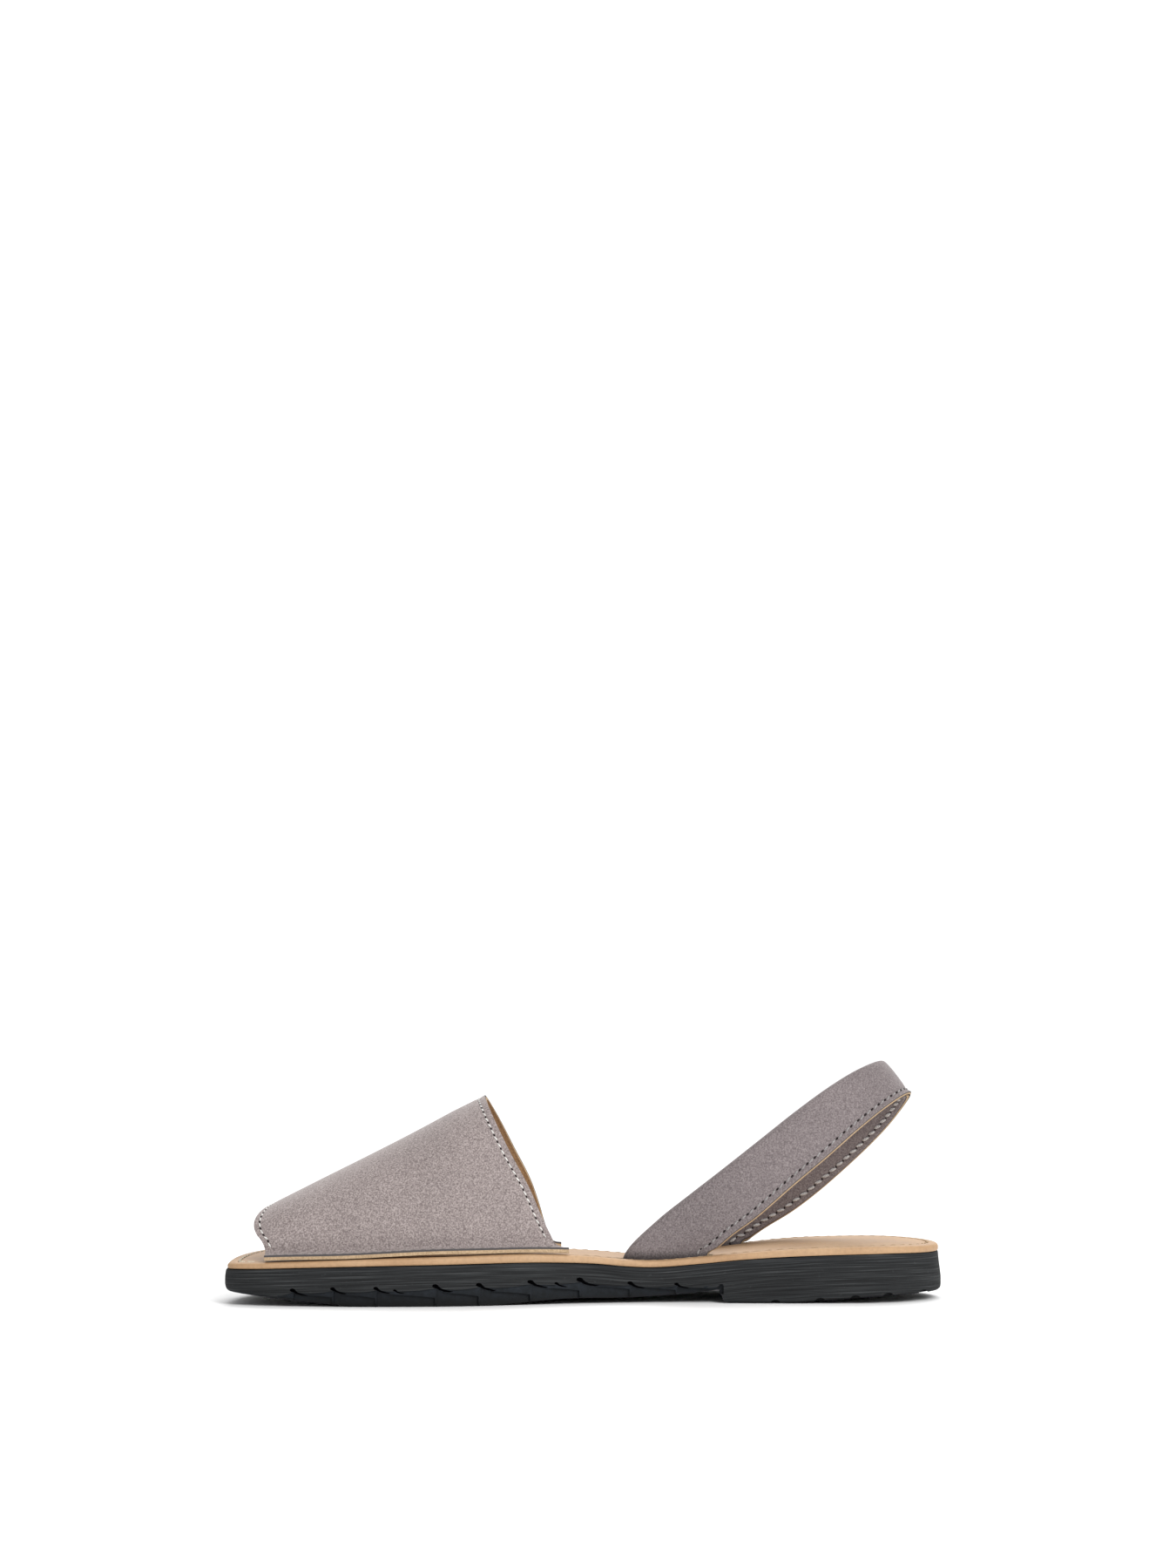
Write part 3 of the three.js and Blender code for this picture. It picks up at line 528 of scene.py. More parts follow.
# needle holes: dark plugs painted as the shade inside each hole
needle_hole_shade = finish("needle_hole_shade", (0.022, 0.018, 0.018), 0.95, 0.1)
print("finishes:", ", ".join(m.name for m in bpy.data.materials if m.users or m.use_nodes))

# %% [markdown]
# ## The rubber sole
# The sole comes out of one mould: a flat forefoot, an arched waist and a low heel. It is made as an outline
# that is raised ring by ring, because the side leans and its lower edge is rounded. Its side was sanded
# after the leather was glued on, down to a band of overlapping lugs that stay as moulded.

# %% Block of rubber
# share of the side's height, how far in the heel is there, how far in the waist and forefoot are
SIDE = [(0.00, 0.75, 1.40), (0.03, 0.32, 0.95), (0.07, 0.08, 0.62), (0.12, 0.00, 0.42), (0.20, 0.00, 0.18),
        (0.34, 0.00, 0.00), (0.52, 0.28, 0.00), (0.70, 0.60, 0.04), (0.86, 0.82, 0.18), (0.97, 0.95, 0.33),
        (1.00, 1.10, 0.50)]


def side_ring(part, heel, fore):
    points = ring(lambda x: heel + (fore - heel) * ease((x - HEEL_FRONT - HEEL_STEP) / 22))
    return [(x, y, rubber_bottom(x) + (rubber_top(x, y) - rubber_bottom(x)) * part) for x, y in points]


sole = raised_rings("rubber_sole", [side_ring(*row) for row in SIDE])
dress(sole, sanded_rubber)
report(sole)

# %% Nicks and lugs
# Each nick: place along the side, size
NICKS = [(100.4, 1.0), (86.6, 0.9), (71.8, 0.9), (65.4, 0.6), (51.4, 1.1), (36.5, 1.1), (18.9, 1.1), (10.1, 0.7),
         (1.9, 1.2), (-15.5, 1.0), (-31.5, 0.8)]
HOOK = [(1.3, 0.5), (1.1, 1.15), (0.3, 1.35), (-0.4, 1.1), (-0.8, 0.55), (-1.4, 0.0), (-2.6, -0.55), (-4.2, -1.0),
        (-5.4, -1.15), (-4.2, -1.5), (-2.4, -1.25), (-0.8, -0.75), (0.0, -0.15), (0.7, 0.1)]
LUG_FRONTS = [x for x, size in NICKS if size > 0.75]
# place along the side, height of the band's upper edge over the floor
BAND_TOP = [(HEEL_FRONT, 5.9), (-31.5, 5.9), (-15.5, 6.2), (1.9, 7.5), (18.9, 7.2), (36.5, 6.5), (51.4, 6.3),
            (71.8, 5.7), (86.6, 5.5), (100.4, 4.9), (113.0, 2.7)]
BAND_FRONT = 113.0
BAND_STEP = 1.7
BAND_SAG = 0.75
BAND_DEPTH = 0.5
LUG_DEPTH = 1.6
NICK_DEPTH = 2.0
# cutters reach this far past the sole: across it, over and under it, and down from a cut
ACROSS, OVER, BELOW = 60, 30, -20


def band_top(x):
    """Height of the moulded band's upper edge: highest at each nick, sagging between two of them."""
    ahead = min((n for n in LUG_FRONTS if n >= x), default=BAND_FRONT)
    behind = max((n for n in LUG_FRONTS if n < x), default=HEEL_FRONT)
    t = (ahead - x) / (ahead - behind)
    return follow(BAND_TOP, 1, x) - BAND_SAG * max(0.0, math.sin(math.pi * t)) ** 0.8


def inner_core(depth, skin):
    """The inside of the sole, from this far in from its side."""
    core = prism("core", ring(lambda x: depth), -OVER, OVER, "z")
    dress(core, skin)
    return core


def side_cutter(name, outline, depth, skin):
    """A cutter through both sides that goes only this deep, and leaves this finish."""
    cutter = prism(name, outline, -ACROSS, ACROSS, "y")
    dress(cutter, skin)
    cut(cutter, inner_core(depth, skin))
    return cutter


def lug_outline(front, back):
    """One lug's lower step: deep behind its nick, and shallower to the back."""
    low = rubber_bottom(max((front + back) / 2, HEEL_FRONT + HEEL_STEP))
    high = band_top(front) - low
    end = max(back + 0.5, HEEL_FRONT + 1.6)
    reach = front - end
    edge = [(0, 0.98), (0.05, 0.93), (0.12, 0.84), (0.22, 0.76), (0.4, 0.70), (0.6, 0.66), (0.8, 0.60), (1, 0.52)]
    return [(front, BELOW)] + [(front - reach * a, low + high * h) for a, h in edge] + [(end, BELOW)]


band_xs = [BAND_FRONT - BAND_STEP * k for k in range(int((BAND_FRONT - HEEL_FRONT - 2) / BAND_STEP))]
band = [(x, band_top(x)) for x in band_xs] + [(band_xs[-1], BELOW), (BAND_FRONT, BELOW)]
cut(sole, side_cutter("band", band, BAND_DEPTH, moulded_rubber))
for front, back in zip(LUG_FRONTS, LUG_FRONTS[1:] + [HEEL_FRONT]):
    cut(sole, side_cutter("lug", lug_outline(front, back), LUG_DEPTH, moulded_rubber))
# each hook's cut faces take the near-black painted shade
for x, size in NICKS:
    hook = [(x + a * size, band_top(x) + b * size * 0.95) for a, b in HOOK]
    cut(sole, side_cutter("hook", hook, NICK_DEPTH, nick_shade_rubber))
report(sole)

# %% Tread under the sole
GROOVES = [(x - 1.2, 2.0, 2.0 if x > 0 else 1.1, 2.6) for x in LUG_FRONTS]
FINE_GROOVES = [((a + b) / 2, 1.0, 0.7, 2.2) for a, b in zip(LUG_FRONTS, LUG_FRONTS[1:])]
HEEL_NOTCHES = [-65.5, -81.0, -93.2, -104.7, -117.5]
TREAD_RIM = 3.2
NOTCH_DEPTH = 2.4
BREAST_DEPTH = 2.0
HEEL_CORNER = 2.6


def wave(at, width, depth, swing, steps=72):
    """A waved groove across the tread, which ends a little inside the side."""
    def side(offset):
        return [(at + offset + swing * math.sin(y / BALL_WIDTH * math.pi * 4), y)
                for y in (-54 + 108 * k / steps for k in range(steps + 1))]
    groove = prism("groove", side(width / 2) + side(-width / 2)[::-1], BELOW, rubber_bottom(at) + depth, "z")
    dress(groove, moulded_rubber)
    cut(groove, inner_core(TREAD_RIM, moulded_rubber), "INTERSECT")
    return groove


def notch(x, half=1.7, height=1.1):
    """A small arch in the heel's lower edge."""
    low = rubber_bottom(x)
    arc = [(x + half * math.cos(a), low + height * math.sin(a)) for a in (math.pi * k / 12 for k in range(13))]
    return side_cutter("notch", arc + [(x - half, -5), (x + half, -5)], NOTCH_DEPTH, moulded_rubber)


breast_line = [(-47.6, 3), (-47.6, 5.9), (-47.1, 6.5), (-46.4, 6.4), (-45.4, 5.3), (-44.2, 4.9), (-44.2, 3)]
breast = side_cutter("breast", breast_line, BREAST_DEPTH, moulded_rubber)
turns = [math.pi * k / 16 for k in range(9)]
corner = [(HEEL_FRONT - HEEL_CORNER + HEEL_CORNER * math.cos(a), HEEL_CORNER - HEEL_CORNER * math.sin(a))
          for a in turns]
corner += [(corner[-1][0], -3), (corner[0][0] + 3, -3), (corner[0][0] + 3, HEEL_CORNER)]
heel_corner = prism("heel_corner", corner, -ACROSS, ACROSS, "y")
dress(heel_corner, moulded_rubber)
for cutter in [wave(*row) for row in GROOVES + FINE_GROOVES] + [notch(x) for x in HEEL_NOTCHES]:
    cut(sole, cutter)
cut(sole, breast)
cut(sole, heel_corner)
report(sole)

# %% Skin of the sole
moulded = sole.data.materials.find("moulded_rubber")
for face in sole.data.polygons:
    x, y, z = face.center / MM
    below = face.normal.z < -0.6 or (x > HEEL_FRONT + 1 and z < band_top(x) + 0.02)
    if face.material_index == 0 and below:
        face.material_index = moulded
edit(sole)
bpy.ops.mesh.dissolve_limited(angle_limit=math.radians(0.6), delimit={"MATERIAL"})
done(sole)
smooth(sole, 32)
finish_with(sole, "WEIGHTED_NORMAL", keep_sharp=True)
report(sole)

# %% [markdown]
# ## The heel strap's run
# The strap is a band folded along its top edge and sewn along its lower one. Its two legs drop through
# slots in the insole, so its line is needed before the insole is cut.

# %% Line of the strap
STRAP_RISE = 68.5
STRAP_FOLD = 4.4
STRAP_FLARE = 0.9
SLOT_CLEARANCE = 0.9
SLOT_RIM = 3.6
# upper edge back, side, rise; lower edge back, side, rise
STRAP = [(-0.047, 1.00, -0.101, -0.164, 1.00, -0.101), (-0.055, 1.00, 0.050, -0.171, 1.00, 0.042),
         (-0.098, 1.06, 0.210, -0.187, 1.05, 0.086), (-0.143, 1.13, 0.342, -0.206, 1.12, 0.145),
         (-0.189, 1.19, 0.473, -0.240, 1.20, 0.236), (-0.241, 1.22, 0.623, -0.288, 1.27, 0.390),
         (-0.287, 1.18, 0.755, -0.332, 1.27, 0.523), (-0.332, 1.05, 0.873, -0.376, 1.13, 0.661),
         (-0.371, 0.80, 0.958, -0.412, 0.87, 0.761), (-0.400, 0.44, 1.000, -0.441, 0.50, 0.823),
         (-0.413, 0.00, 1.000, -0.455, 0.00, 0.826), (-0.405, -0.34, 0.964, -0.450, -0.38, 0.768),
         (-0.383, -0.63, 0.883, -0.430, -0.69, 0.658), (-0.351, -0.85, 0.772, -0.401, -0.92, 0.539),
         (-0.315, -0.98, 0.655, -0.368, -1.05, 0.422), (-0.277, -1.05, 0.536, -0.332, -1.11, 0.307),
         (-0.235, -1.07, 0.419, -0.296, -1.11, 0.209), (-0.190, -1.06, 0.299, -0.260, -1.08, 0.131),
         (-0.144, -1.03, 0.174, -0.237, -1.04, 0.076), (-0.104, -1.00, 0.050, -0.224, -1.00, 0.042),
         (-0.095, -1.00, -0.101, -0.217, -1.00, -0.101)]
STRAP_RUN = [(i / (len(STRAP) - 1), *row) for i, row in enumerate(STRAP)]


def foot_y(row, side):
    x = (row[0] + row[3]) / 2 * SOLE_LENGTH
    return edge_y(x, side) - side * (INSOLE_INSET + SLOT_RIM + SLOT_CLEARANCE + STRAP_FOLD / 2)


FEET = {1: foot_y(STRAP[1], 1), -1: foot_y(STRAP[-2], -1)}


def strap_edges(run):
    """The upper and lower edge of the strap's middle layer at a share of its run."""
    points = []
    for first in (1, 4):
        back, side, rise = (follow(STRAP_RUN, first + k, run) for k in range(3))
        points.append(Vector((back * SOLE_LENGTH, abs(side) * FEET[1 if side > 0 else -1],
                              SOLE_THICKNESS + rise * STRAP_RISE)))
    return points


def strap_point(run, down):
    """A point of the middle layer, and the direction out of the loop there."""
    high, low = strap_edges(run)
    step = 0.008
    ahead, behind = strap_edges(min(1, run + step)), strap_edges(max(0, run - step))
    along = ahead[0].lerp(ahead[1], down) - behind[0].lerp(behind[1], down)
    out = (low - high).cross(along).normalized()
    return high.lerp(low, down), out, along.normalized()


def strap_meets(down, side, surface):
    """The share of the run where a line of the strap comes down to a surface."""
    low, high = 0.0, 0.4
    for _ in range(24):
        middle = (low + high) / 2
        point = strap_point(middle if side > 0 else 1 - middle, down)[0]
        if point.z < surface(point.x, point.y):
            low = middle
        else:
            high = middle
    return low if side > 0 else 1 - low


print("strap feet at y", [round(FEET[s], 1) for s in (1, -1)], "mm; top of the strap",
      round(max(strap_edges(k / 100)[0].z for k in range(101)), 1), "mm")

# %% [markdown]
# ## The insole
# The footbed is firm tan leather. Its edge is wrapped and rounded, a seam runs round it, and each leg of
# the strap has a pointed slot. It is raised like the sole, with more rings where the edge turns over and
# where the seam pulls the leather down into a shallow channel.

# %% Footbed with its rounded edge and seam channel
EDGE = [(1.15, 0.00), (0.92, 0.12), (0.90, 0.30), (0.90, 0.50), (0.98, 0.65), (1.18, 0.78), (1.55, 0.89),
        (2.05, 0.96), (2.60, 0.995)]
CHANNEL_DEPTH = 0.33
CHANNEL = [(-1.15, 0.0), (-0.75, -0.03), (-0.45, -0.18), (-0.2, -0.3), (0.0, -CHANNEL_DEPTH), (0.2, -0.3),
           (0.45, -0.18), (0.75, -0.03), (1.3, 0.0)]
CHANNEL_END = 3.2
SLOT_DEPTH = 2.1
SLOT_TIP, SLOT_END = 6.0, 1.6


def seam_inset(x):
    """How far inside the rubber's edge the insole's seam runs: nearer to the edge beside vamp and strap."""
    return 3.5 + 1.3 * (ease((x - 108) / 8) + ease((-78 - x) / 14))


def insole_ring(inset, part, deep=0.0):
    points = ring(inset if callable(inset) else lambda x: inset)
    thick = [insole_top(x, y) - rubber_top(x, y) - GAP for x, y in points]
    return [(x, y, rubber_top(x, y) + GAP + t * part + deep) for (x, y), t in zip(points, thick)]


rings = [insole_ring(*row) for row in EDGE]
rings += [insole_ring(lambda x, o=offset: seam_inset(x) + o, 1.0, deep) for offset, deep in CHANNEL]
rings += [insole_ring(lambda x: seam_inset(x) + CHANNEL_END, 1.0)]
insole = raised_rings("leather_insole", rings)
dress(insole, tan_leather)


def slot_outline(side):
    """A slot in line with the strap's leg: a long point in front, rounded behind."""
    front = strap_edges(strap_meets(0, side, insole_top))[0]
    back = strap_edges(strap_meets(1, side, insole_top))[1]
    lean = (front.y - back.y) / (front.x - back.x)
    wide = STRAP_FOLD / 2 + SLOT_CLEARANCE * 0.6
    tip, end = front.x + SLOT_TIP, back.x - SLOT_END
    form = [(tip, 0.04), (tip - 0.8, 0.2), (tip - 2.2, 0.46), (tip - 3.8, 0.76), (front.x + 0.6, 0.95),
            (front.x - 2, 1), (end + 1.6, 1), (end + 0.4, 0.82), (end, 0.5)]
    upper = [(x, back.y + lean * (x - back.x) + wide * part) for x, part in form]
    lower = [(x, back.y + lean * (x - back.x) - wide * part) for x, part in form]
    return upper + lower[::-1]


for side in (1, -1):
    level = insole_top(-25, edge_y(-25, side))
    slot = prism("slot", slot_outline(side), level - SLOT_DEPTH, level + 20, "z")
    dress(slot, slot_leather)
    cut(insole, slot)
smooth(insole, 40)
report(insole)

# %% [markdown]
# ## The vamp
# The vamp is one piece of nubuck, 1.8 mm thick. It is pulled over the last, and its lower margin is turned
# out and sewn down on the insole. A grid is laid over the last row by row, with closer columns where the
# seams run, and Solidify then gives it the leather's thickness, inwards.

# %% Last and pattern of the vamp
WALL = 1.8
THROAT_RISE = 54.5
TOE_RISE = 14.6
FLANGE_WIDTH = 5.4
FLANGE_INSET = 0.5
FOLD_RADIUS = 1.8
RIDGE_SHIFT = 6.0
FLANGE_BACK = {1: 0.024 * SOLE_LENGTH, -1: 0.036 * SOLE_LENGTH}
RIDGE_BACK = 0.143 * SOLE_LENGTH
RIDGE_FRONT = 0.458 * SOLE_LENGTH
ARCH_POWER = 2.2
# turn over the arch, place of the toe edge; rise of the throat edge, its place
TOE_EDGE = [(0.00, 0.443), (0.06, 0.448), (0.13, 0.456), (0.23, 0.460), (0.34, 0.458), (0.47, 0.450), (0.62, 0.436),
            (0.80, 0.415), (1.00, 0.392)]
# turn over the arch, how far the outer side's throat edge lies ahead of that line
THROAT_OUTER = [(0.50, 0.0), (0.62, 0.0), (0.76, -0.0004), (0.83, 0.0004), (0.90, 0.002), (0.95, 0.005),
                (0.98, 0.010), (1.0, 0.012)]
THROAT_EDGE = [(0.06, 0.042), (0.23, 0.060), (0.43, 0.079), (0.65, 0.105), (0.86, 0.128), (1.00, 0.143)]


def ridge(x):
    return INSOLE_LEVEL + TOE_RISE + (RIDGE_FRONT - x) * (THROAT_RISE - TOE_RISE) / (RIDGE_FRONT - RIDGE_BACK)


def wall_foot(x, side):
    """Y and z where the wall ends and the fold to its margin begins."""
    y = edge_y(x, side) - side * (INSOLE_INSET + FLANGE_INSET + FLANGE_WIDTH)
    return y, insole_top(x, y) + GAP + WALL + FOLD_RADIUS


def arch_point(x, turn):
    """A point of the wall over the last: turn is 0 on the inner side and 1 on the outer."""
    (inner_y, inner_z), (outer_y, outer_z) = wall_foot(x, 1), wall_foot(x, -1)
    c, s = math.cos(math.pi * turn), math.sin(math.pi * turn)
    reach = math.copysign(abs(c) ** (2 / ARCH_POWER), c)
    y = (inner_y + outer_y) / 2 + (inner_y - outer_y) / 2 * reach + RIDGE_SHIFT * s * s
    painted_foot_shade = (inner_z + outer_z) / 2 + (inner_z - outer_z) / 2 * reach
    return Vector((x, y, painted_foot_shade + (ridge(x) - painted_foot_shade) * abs(s) ** (2 / ARCH_POWER)))


def fold_point(x, side, part):
    """On the fold: 0 at the wall, 1 at the margin."""
    y, z = wall_foot(x, side)
    angle = part * math.pi / 2
    return Vector((x, y + side * FOLD_RADIUS * (1 - math.cos(angle)), z - FOLD_RADIUS * math.sin(angle)))


def margin_point(x, side, part):
    """On the flat margin: 0 at its raw edge, 1 where the fold begins."""
    edge = edge_y(x, side) - side * (INSOLE_INSET + FLANGE_INSET)
    y = edge + (fold_point(x, side, 1).y - edge) * part
    return Vector((x, y, insole_top(x, y) + GAP + WALL))


def throat_x(turn):
    x = THROAT_EDGE[0][1] * SOLE_LENGTH
    for _ in range(12):
        x += 0.6 * (follow(THROAT_EDGE, 1, (arch_point(x, turn).z - INSOLE_LEVEL) / THROAT_RISE) * SOLE_LENGTH - x)
    return x + SOLE_LENGTH * follow(THROAT_OUTER, 1, turn)


def toe_x(turn):
    return SOLE_LENGTH * follow(TOE_EDGE, 1, turn)


FROM_THROAT = [0, 0.3, 0.6, 1.0, 1.3, 1.6, 1.9, 2.2, 2.5, 2.9, 3.4, 4.3, 6.0, 8.2]
FROM_TOE = [6.0, 4.6, 3.6, 3.0, 2.6, 2.3, 2.0, 1.7, 1.4, 1.0, 0.6, 0.25, 0]
BODY_COLUMNS = 26
COLUMNS = len(FROM_THROAT) + BODY_COLUMNS + len(FROM_TOE) - 1
ARCH_ROWS = 120
MARGIN = [0, 0.06, 0.16, 0.3, 0.42, 0.5, 0.58, 0.7, 0.86]
FOLD = [1, 0.85, 0.68, 0.5, 0.33, 0.16]


def column_x(back, front, i):
    """X of a column, with closer columns where the seams run."""
    if i < len(FROM_THROAT):
        return back + FROM_THROAT[i]
    if i > COLUMNS - len(FROM_TOE):
        return front - FROM_TOE[i - COLUMNS + len(FROM_TOE) - 1]
    start, end = back + FROM_THROAT[-1], front - FROM_TOE[0]
    return start + (end - start) * (i - len(FROM_THROAT) + 1) / (BODY_COLUMNS + 1)


def pattern_rows():
    """Each row over the last: its kind, its side, and its place in that kind."""
    side_rows = [("margin", part) for part in MARGIN] + [("fold", part) for part in FOLD]
    rows = [(kind, 1, part) for kind, part in side_rows]
    rows += [("arch", 0, r / ARCH_ROWS) for r in range(ARCH_ROWS + 1)]
    return rows + [(kind, -1, part) for kind, part in side_rows[::-1]]


ROWS = pattern_rows()


def row_ends(row):
    """X of a row's two ends, on the throat edge and on the toe edge."""
    kind, side, part = row
    if kind == "arch":
        return throat_x(part), toe_x(part)
    turn = 0 if side > 0 else 1
    if kind == "margin":
        return FLANGE_BACK[side], toe_x(turn)
    return FLANGE_BACK[side] + (throat_x(turn) - FLANGE_BACK[side]) * (1 - 0.85 * part ** 1.2), toe_x(turn)


def on_last(row, x):
    kind, side, part = row
    if kind == "arch":
        return arch_point(x, part)
    return fold_point(x, side, part) if kind == "fold" else margin_point(x, side, part)


ENDS = [row_ends(row) for row in ROWS]
print("vamp grid:", COLUMNS, "by", len(ROWS) - 1, "faces; throat from x",
      round(ENDS[len(MARGIN) + len(FOLD)][0], 1), "to", round(max(e[0] for e in ENDS), 1))

# %% Creases and seam channels
THROAT_SEAM = 2.2
TOE_SEAM = 2.0
# soft hollows (-) and ridges (+) of the vamp: x, turn, length along x, width in turn, height
CREASES = [(46, 0.20, 16, 0.05, -0.45), (58, 0.12, 22, 0.04, 0.30), (84, 0.15, 14, 0.045, -0.40),
           (100, 0.20, 9, 0.06, 0.30), (70, 0.52, 24, 0.07, -0.35), (46, 0.44, 9, 0.10, 0.30),
           (24, 0.08, 8, 0.04, -0.40), (106, 0.07, 6, 0.03, -0.35), (62, 0.80, 20, 0.05, -0.50),
           (88, 0.86, 14, 0.04, 0.30), (40, 0.88, 12, 0.04, 0.30)]


def drawn_down(row, ends, x):
    """A point of the vamp's outer face, drawn down along the seams and softly creased, and its normal."""
    kind, side, part = row
    back, front = ends
    point = on_last(row, x)
    lift = 0.2 + 0.16 * math.sin(x / 8.3 + side) + 0.3 * hump(x - 44, 17)
    if kind == "margin":
        return point + Vector((0, 0, lift - 0.22 * hump((part - 0.5) * 3.6, 0.5))), Vector((0, 0, 1))
    if kind == "fold":
        return point + Vector((0, 0, lift * part)), Vector((0, side, 1)).normalized()
    ahead, turned = on_last(row, x + 0.5), on_last((kind, side, min(1, part + 0.004)), x)
    behind, before = on_last(row, x - 0.5), on_last((kind, side, max(0, part - 0.004)), x)
    out = (turned - before).cross(ahead - behind).normalized()
    deep = -0.30 * hump(x - back - THROAT_SEAM, 0.75) - 0.28 * hump(front - x - TOE_SEAM, 0.7)
    away = ease((x - back - 5) / 6) * ease((front - x - 4) / 5) * ease(part / 0.05) * ease((1 - part) / 0.05)
    crease = sum(h * hump(x - cx, length) * hump(part - turn, width) for cx, turn, length, width, h in CREASES)
    return point + out * (deep + crease * away), out


def vamp_place(i, j):
    return drawn_down(ROWS[j], ENDS[j], column_x(*ENDS[j], i))[0]


vamp = wrapped_grid("nubuck_vamp", COLUMNS, len(ROWS) - 1, vamp_place, skin=lambda i, j: 1.0)
top = drawn_down(("arch", 0, 0.5), (throat_x(0.5), toe_x(0.5)), 70)
print("vamp's ridge normal points", "up" if top[1].z > 0 else "down")
edit(vamp)
bpy.ops.mesh.flip_normals()
done(vamp)

# %% Thickness of the vamp
outer_points = len(vamp.data.vertices)
dress(vamp, nubuck, flesh_side, cut_leather)
finish_with(vamp, "SOLIDIFY", thickness=WALL * MM, offset=-1, material_offset=1, material_offset_rim=2)
for i, value in enumerate(vamp.data.attributes["skin"].data):
    value.value = 1.0 if i < outer_points else 0.0
finish_with(vamp, "BEVEL", width=0.00018, segments=2, limit_method="ANGLE", angle_limit=math.radians(60))
smooth(vamp, 40)
report(vamp)

# %% [markdown]
# ## The heel strap
# A folded band is round at the top, full along its middle and pinched at the seam. Below the seam its two
# raw edges lie side by side and turn slightly outwards. The grid's rows run round that section, and its
# columns follow the strap's line from the inner foot over the heel to the outer foot.

# %% Section of the folded band
# from the fold (0) to the raw edge (1): half thickness, how far it turns outwards
BAND = [(0.000, 0.00, 0.0), (0.004, 0.62, 0.0), (0.013, 1.16, 0.0), (0.028, 1.60, 0.0), (0.05, 1.92, 0.0),
        (0.085, 2.12, 0.0), (0.14, 2.22, 0.0), (0.22, 2.26, 0.0), (0.32, 2.24, 0.0), (0.43, 2.16, 0.0),
        (0.54, 2.04, 0.0), (0.64, 1.90, 0.0), (0.72, 1.76, 0.0), (0.78, 1.60, 0.02), (0.815, 1.44, 0.06),
        (0.84, 1.26, 0.10), (0.858, 1.20, 0.14), (0.876, 1.26, 0.2), (0.90, 1.40, 0.3), (0.935, 1.47, 0.52),
        (0.952, 1.46, 0.64), (0.965, 1.36, 0.74), (1.000, 0.30, 0.95), (0.986, 0.12, 0.9), (0.980, 0.00, 0.9)]
SEAM_DOWN, SEAM_HALF, SEAM_FLARE = 0.858, 1.2, 0.14
STRAP_COLUMNS = 210
AROUND = [(down, half, flare) for down, half, flare in BAND]
AROUND += [(down, -half, flare) for down, half, flare in BAND[-2:0:-1]] + [BAND[0]]
LIMITS = {down: (strap_meets(down, 1, rubber_top), strap_meets(down, -1, rubber_top)) for down, _, _ in BAND}


def strap_place(i, j):
    down, half, flare = AROUND[j]
    start, end = LIMITS[down]
    run = start + (end - start) * i / STRAP_COLUMNS
    point, out, along = strap_point(run, down)
    sag = 0.22 * math.sin(run * 41) * math.sin(math.pi * min(1, down / 0.8)) ** 2 * ease((0.8 - down) / 0.2)
    return point + out * (half * (1 + 0.05 * sag) + STRAP_FLARE * flare)


def strap_part(i, j):
    j = min(j, len(AROUND) - 2 - j)
    return 0 if j < len(BAND) - 4 else 1 if j == len(BAND) - 4 else 2


def strap_skin(i, j):
    return 1.0 if abs(AROUND[j][1]) > 1.0 or AROUND[j][0] < 0.5 else 0.0


strap = wrapped_grid("nubuck_strap", STRAP_COLUMNS, len(AROUND) - 1, strap_place, closed=True, part=strap_part,
                     skin=strap_skin)
dress(strap, folded_nubuck, cut_leather, seam_shadow)
edit(strap)
bpy.ops.mesh.select_all(action="DESELECT")
bpy.ops.mesh.select_mode(type="EDGE")
bpy.ops.mesh.select_non_manifold()
bpy.ops.mesh.fill_holes(sides=0)
bpy.ops.mesh.select_all(action="SELECT")
bpy.ops.mesh.normals_make_consistent(inside=False)
done(strap)
smooth(strap, 50)
report(strap)

# %% [markdown]
# ## Seams
# Each stitch is a short thread that dives into a hole at both ends, so one stitch is a small stretched ball,
# half sunk in its channel, and a hole is a small plug between two of them, coloured near black as painted
# shade for the hole's depth. Both are made once and copied along a line, at the pitch that the real seam has.

# %% One stitch and one hole
def shaped(name, add, size, **settings):
    deselect()
    add(**settings)
    piece = named(bpy.context.object, name)
    bpy.ops.transform.resize(value=tuple(c * MM for c in size))
    bpy.ops.object.transform_apply(location=True, rotation=True, scale=True)
    return piece


def evenly(line, pitch):
    """Points of a line of (point, normal) at an even pitch, with the direction of the line there."""
    found, travelled, wanted = [], 0.0, pitch / 2
    for (a, normal), (b, _) in zip(line, line[1:]):
        step = (b - a).length
        while step > 0 and travelled + step >= wanted:
            found.append((a.lerp(b, (wanted - travelled) / step), (b - a).normalized(), normal))
            wanted += pitch
        travelled += step
    return found


HOLE_DEPTH = 0.36


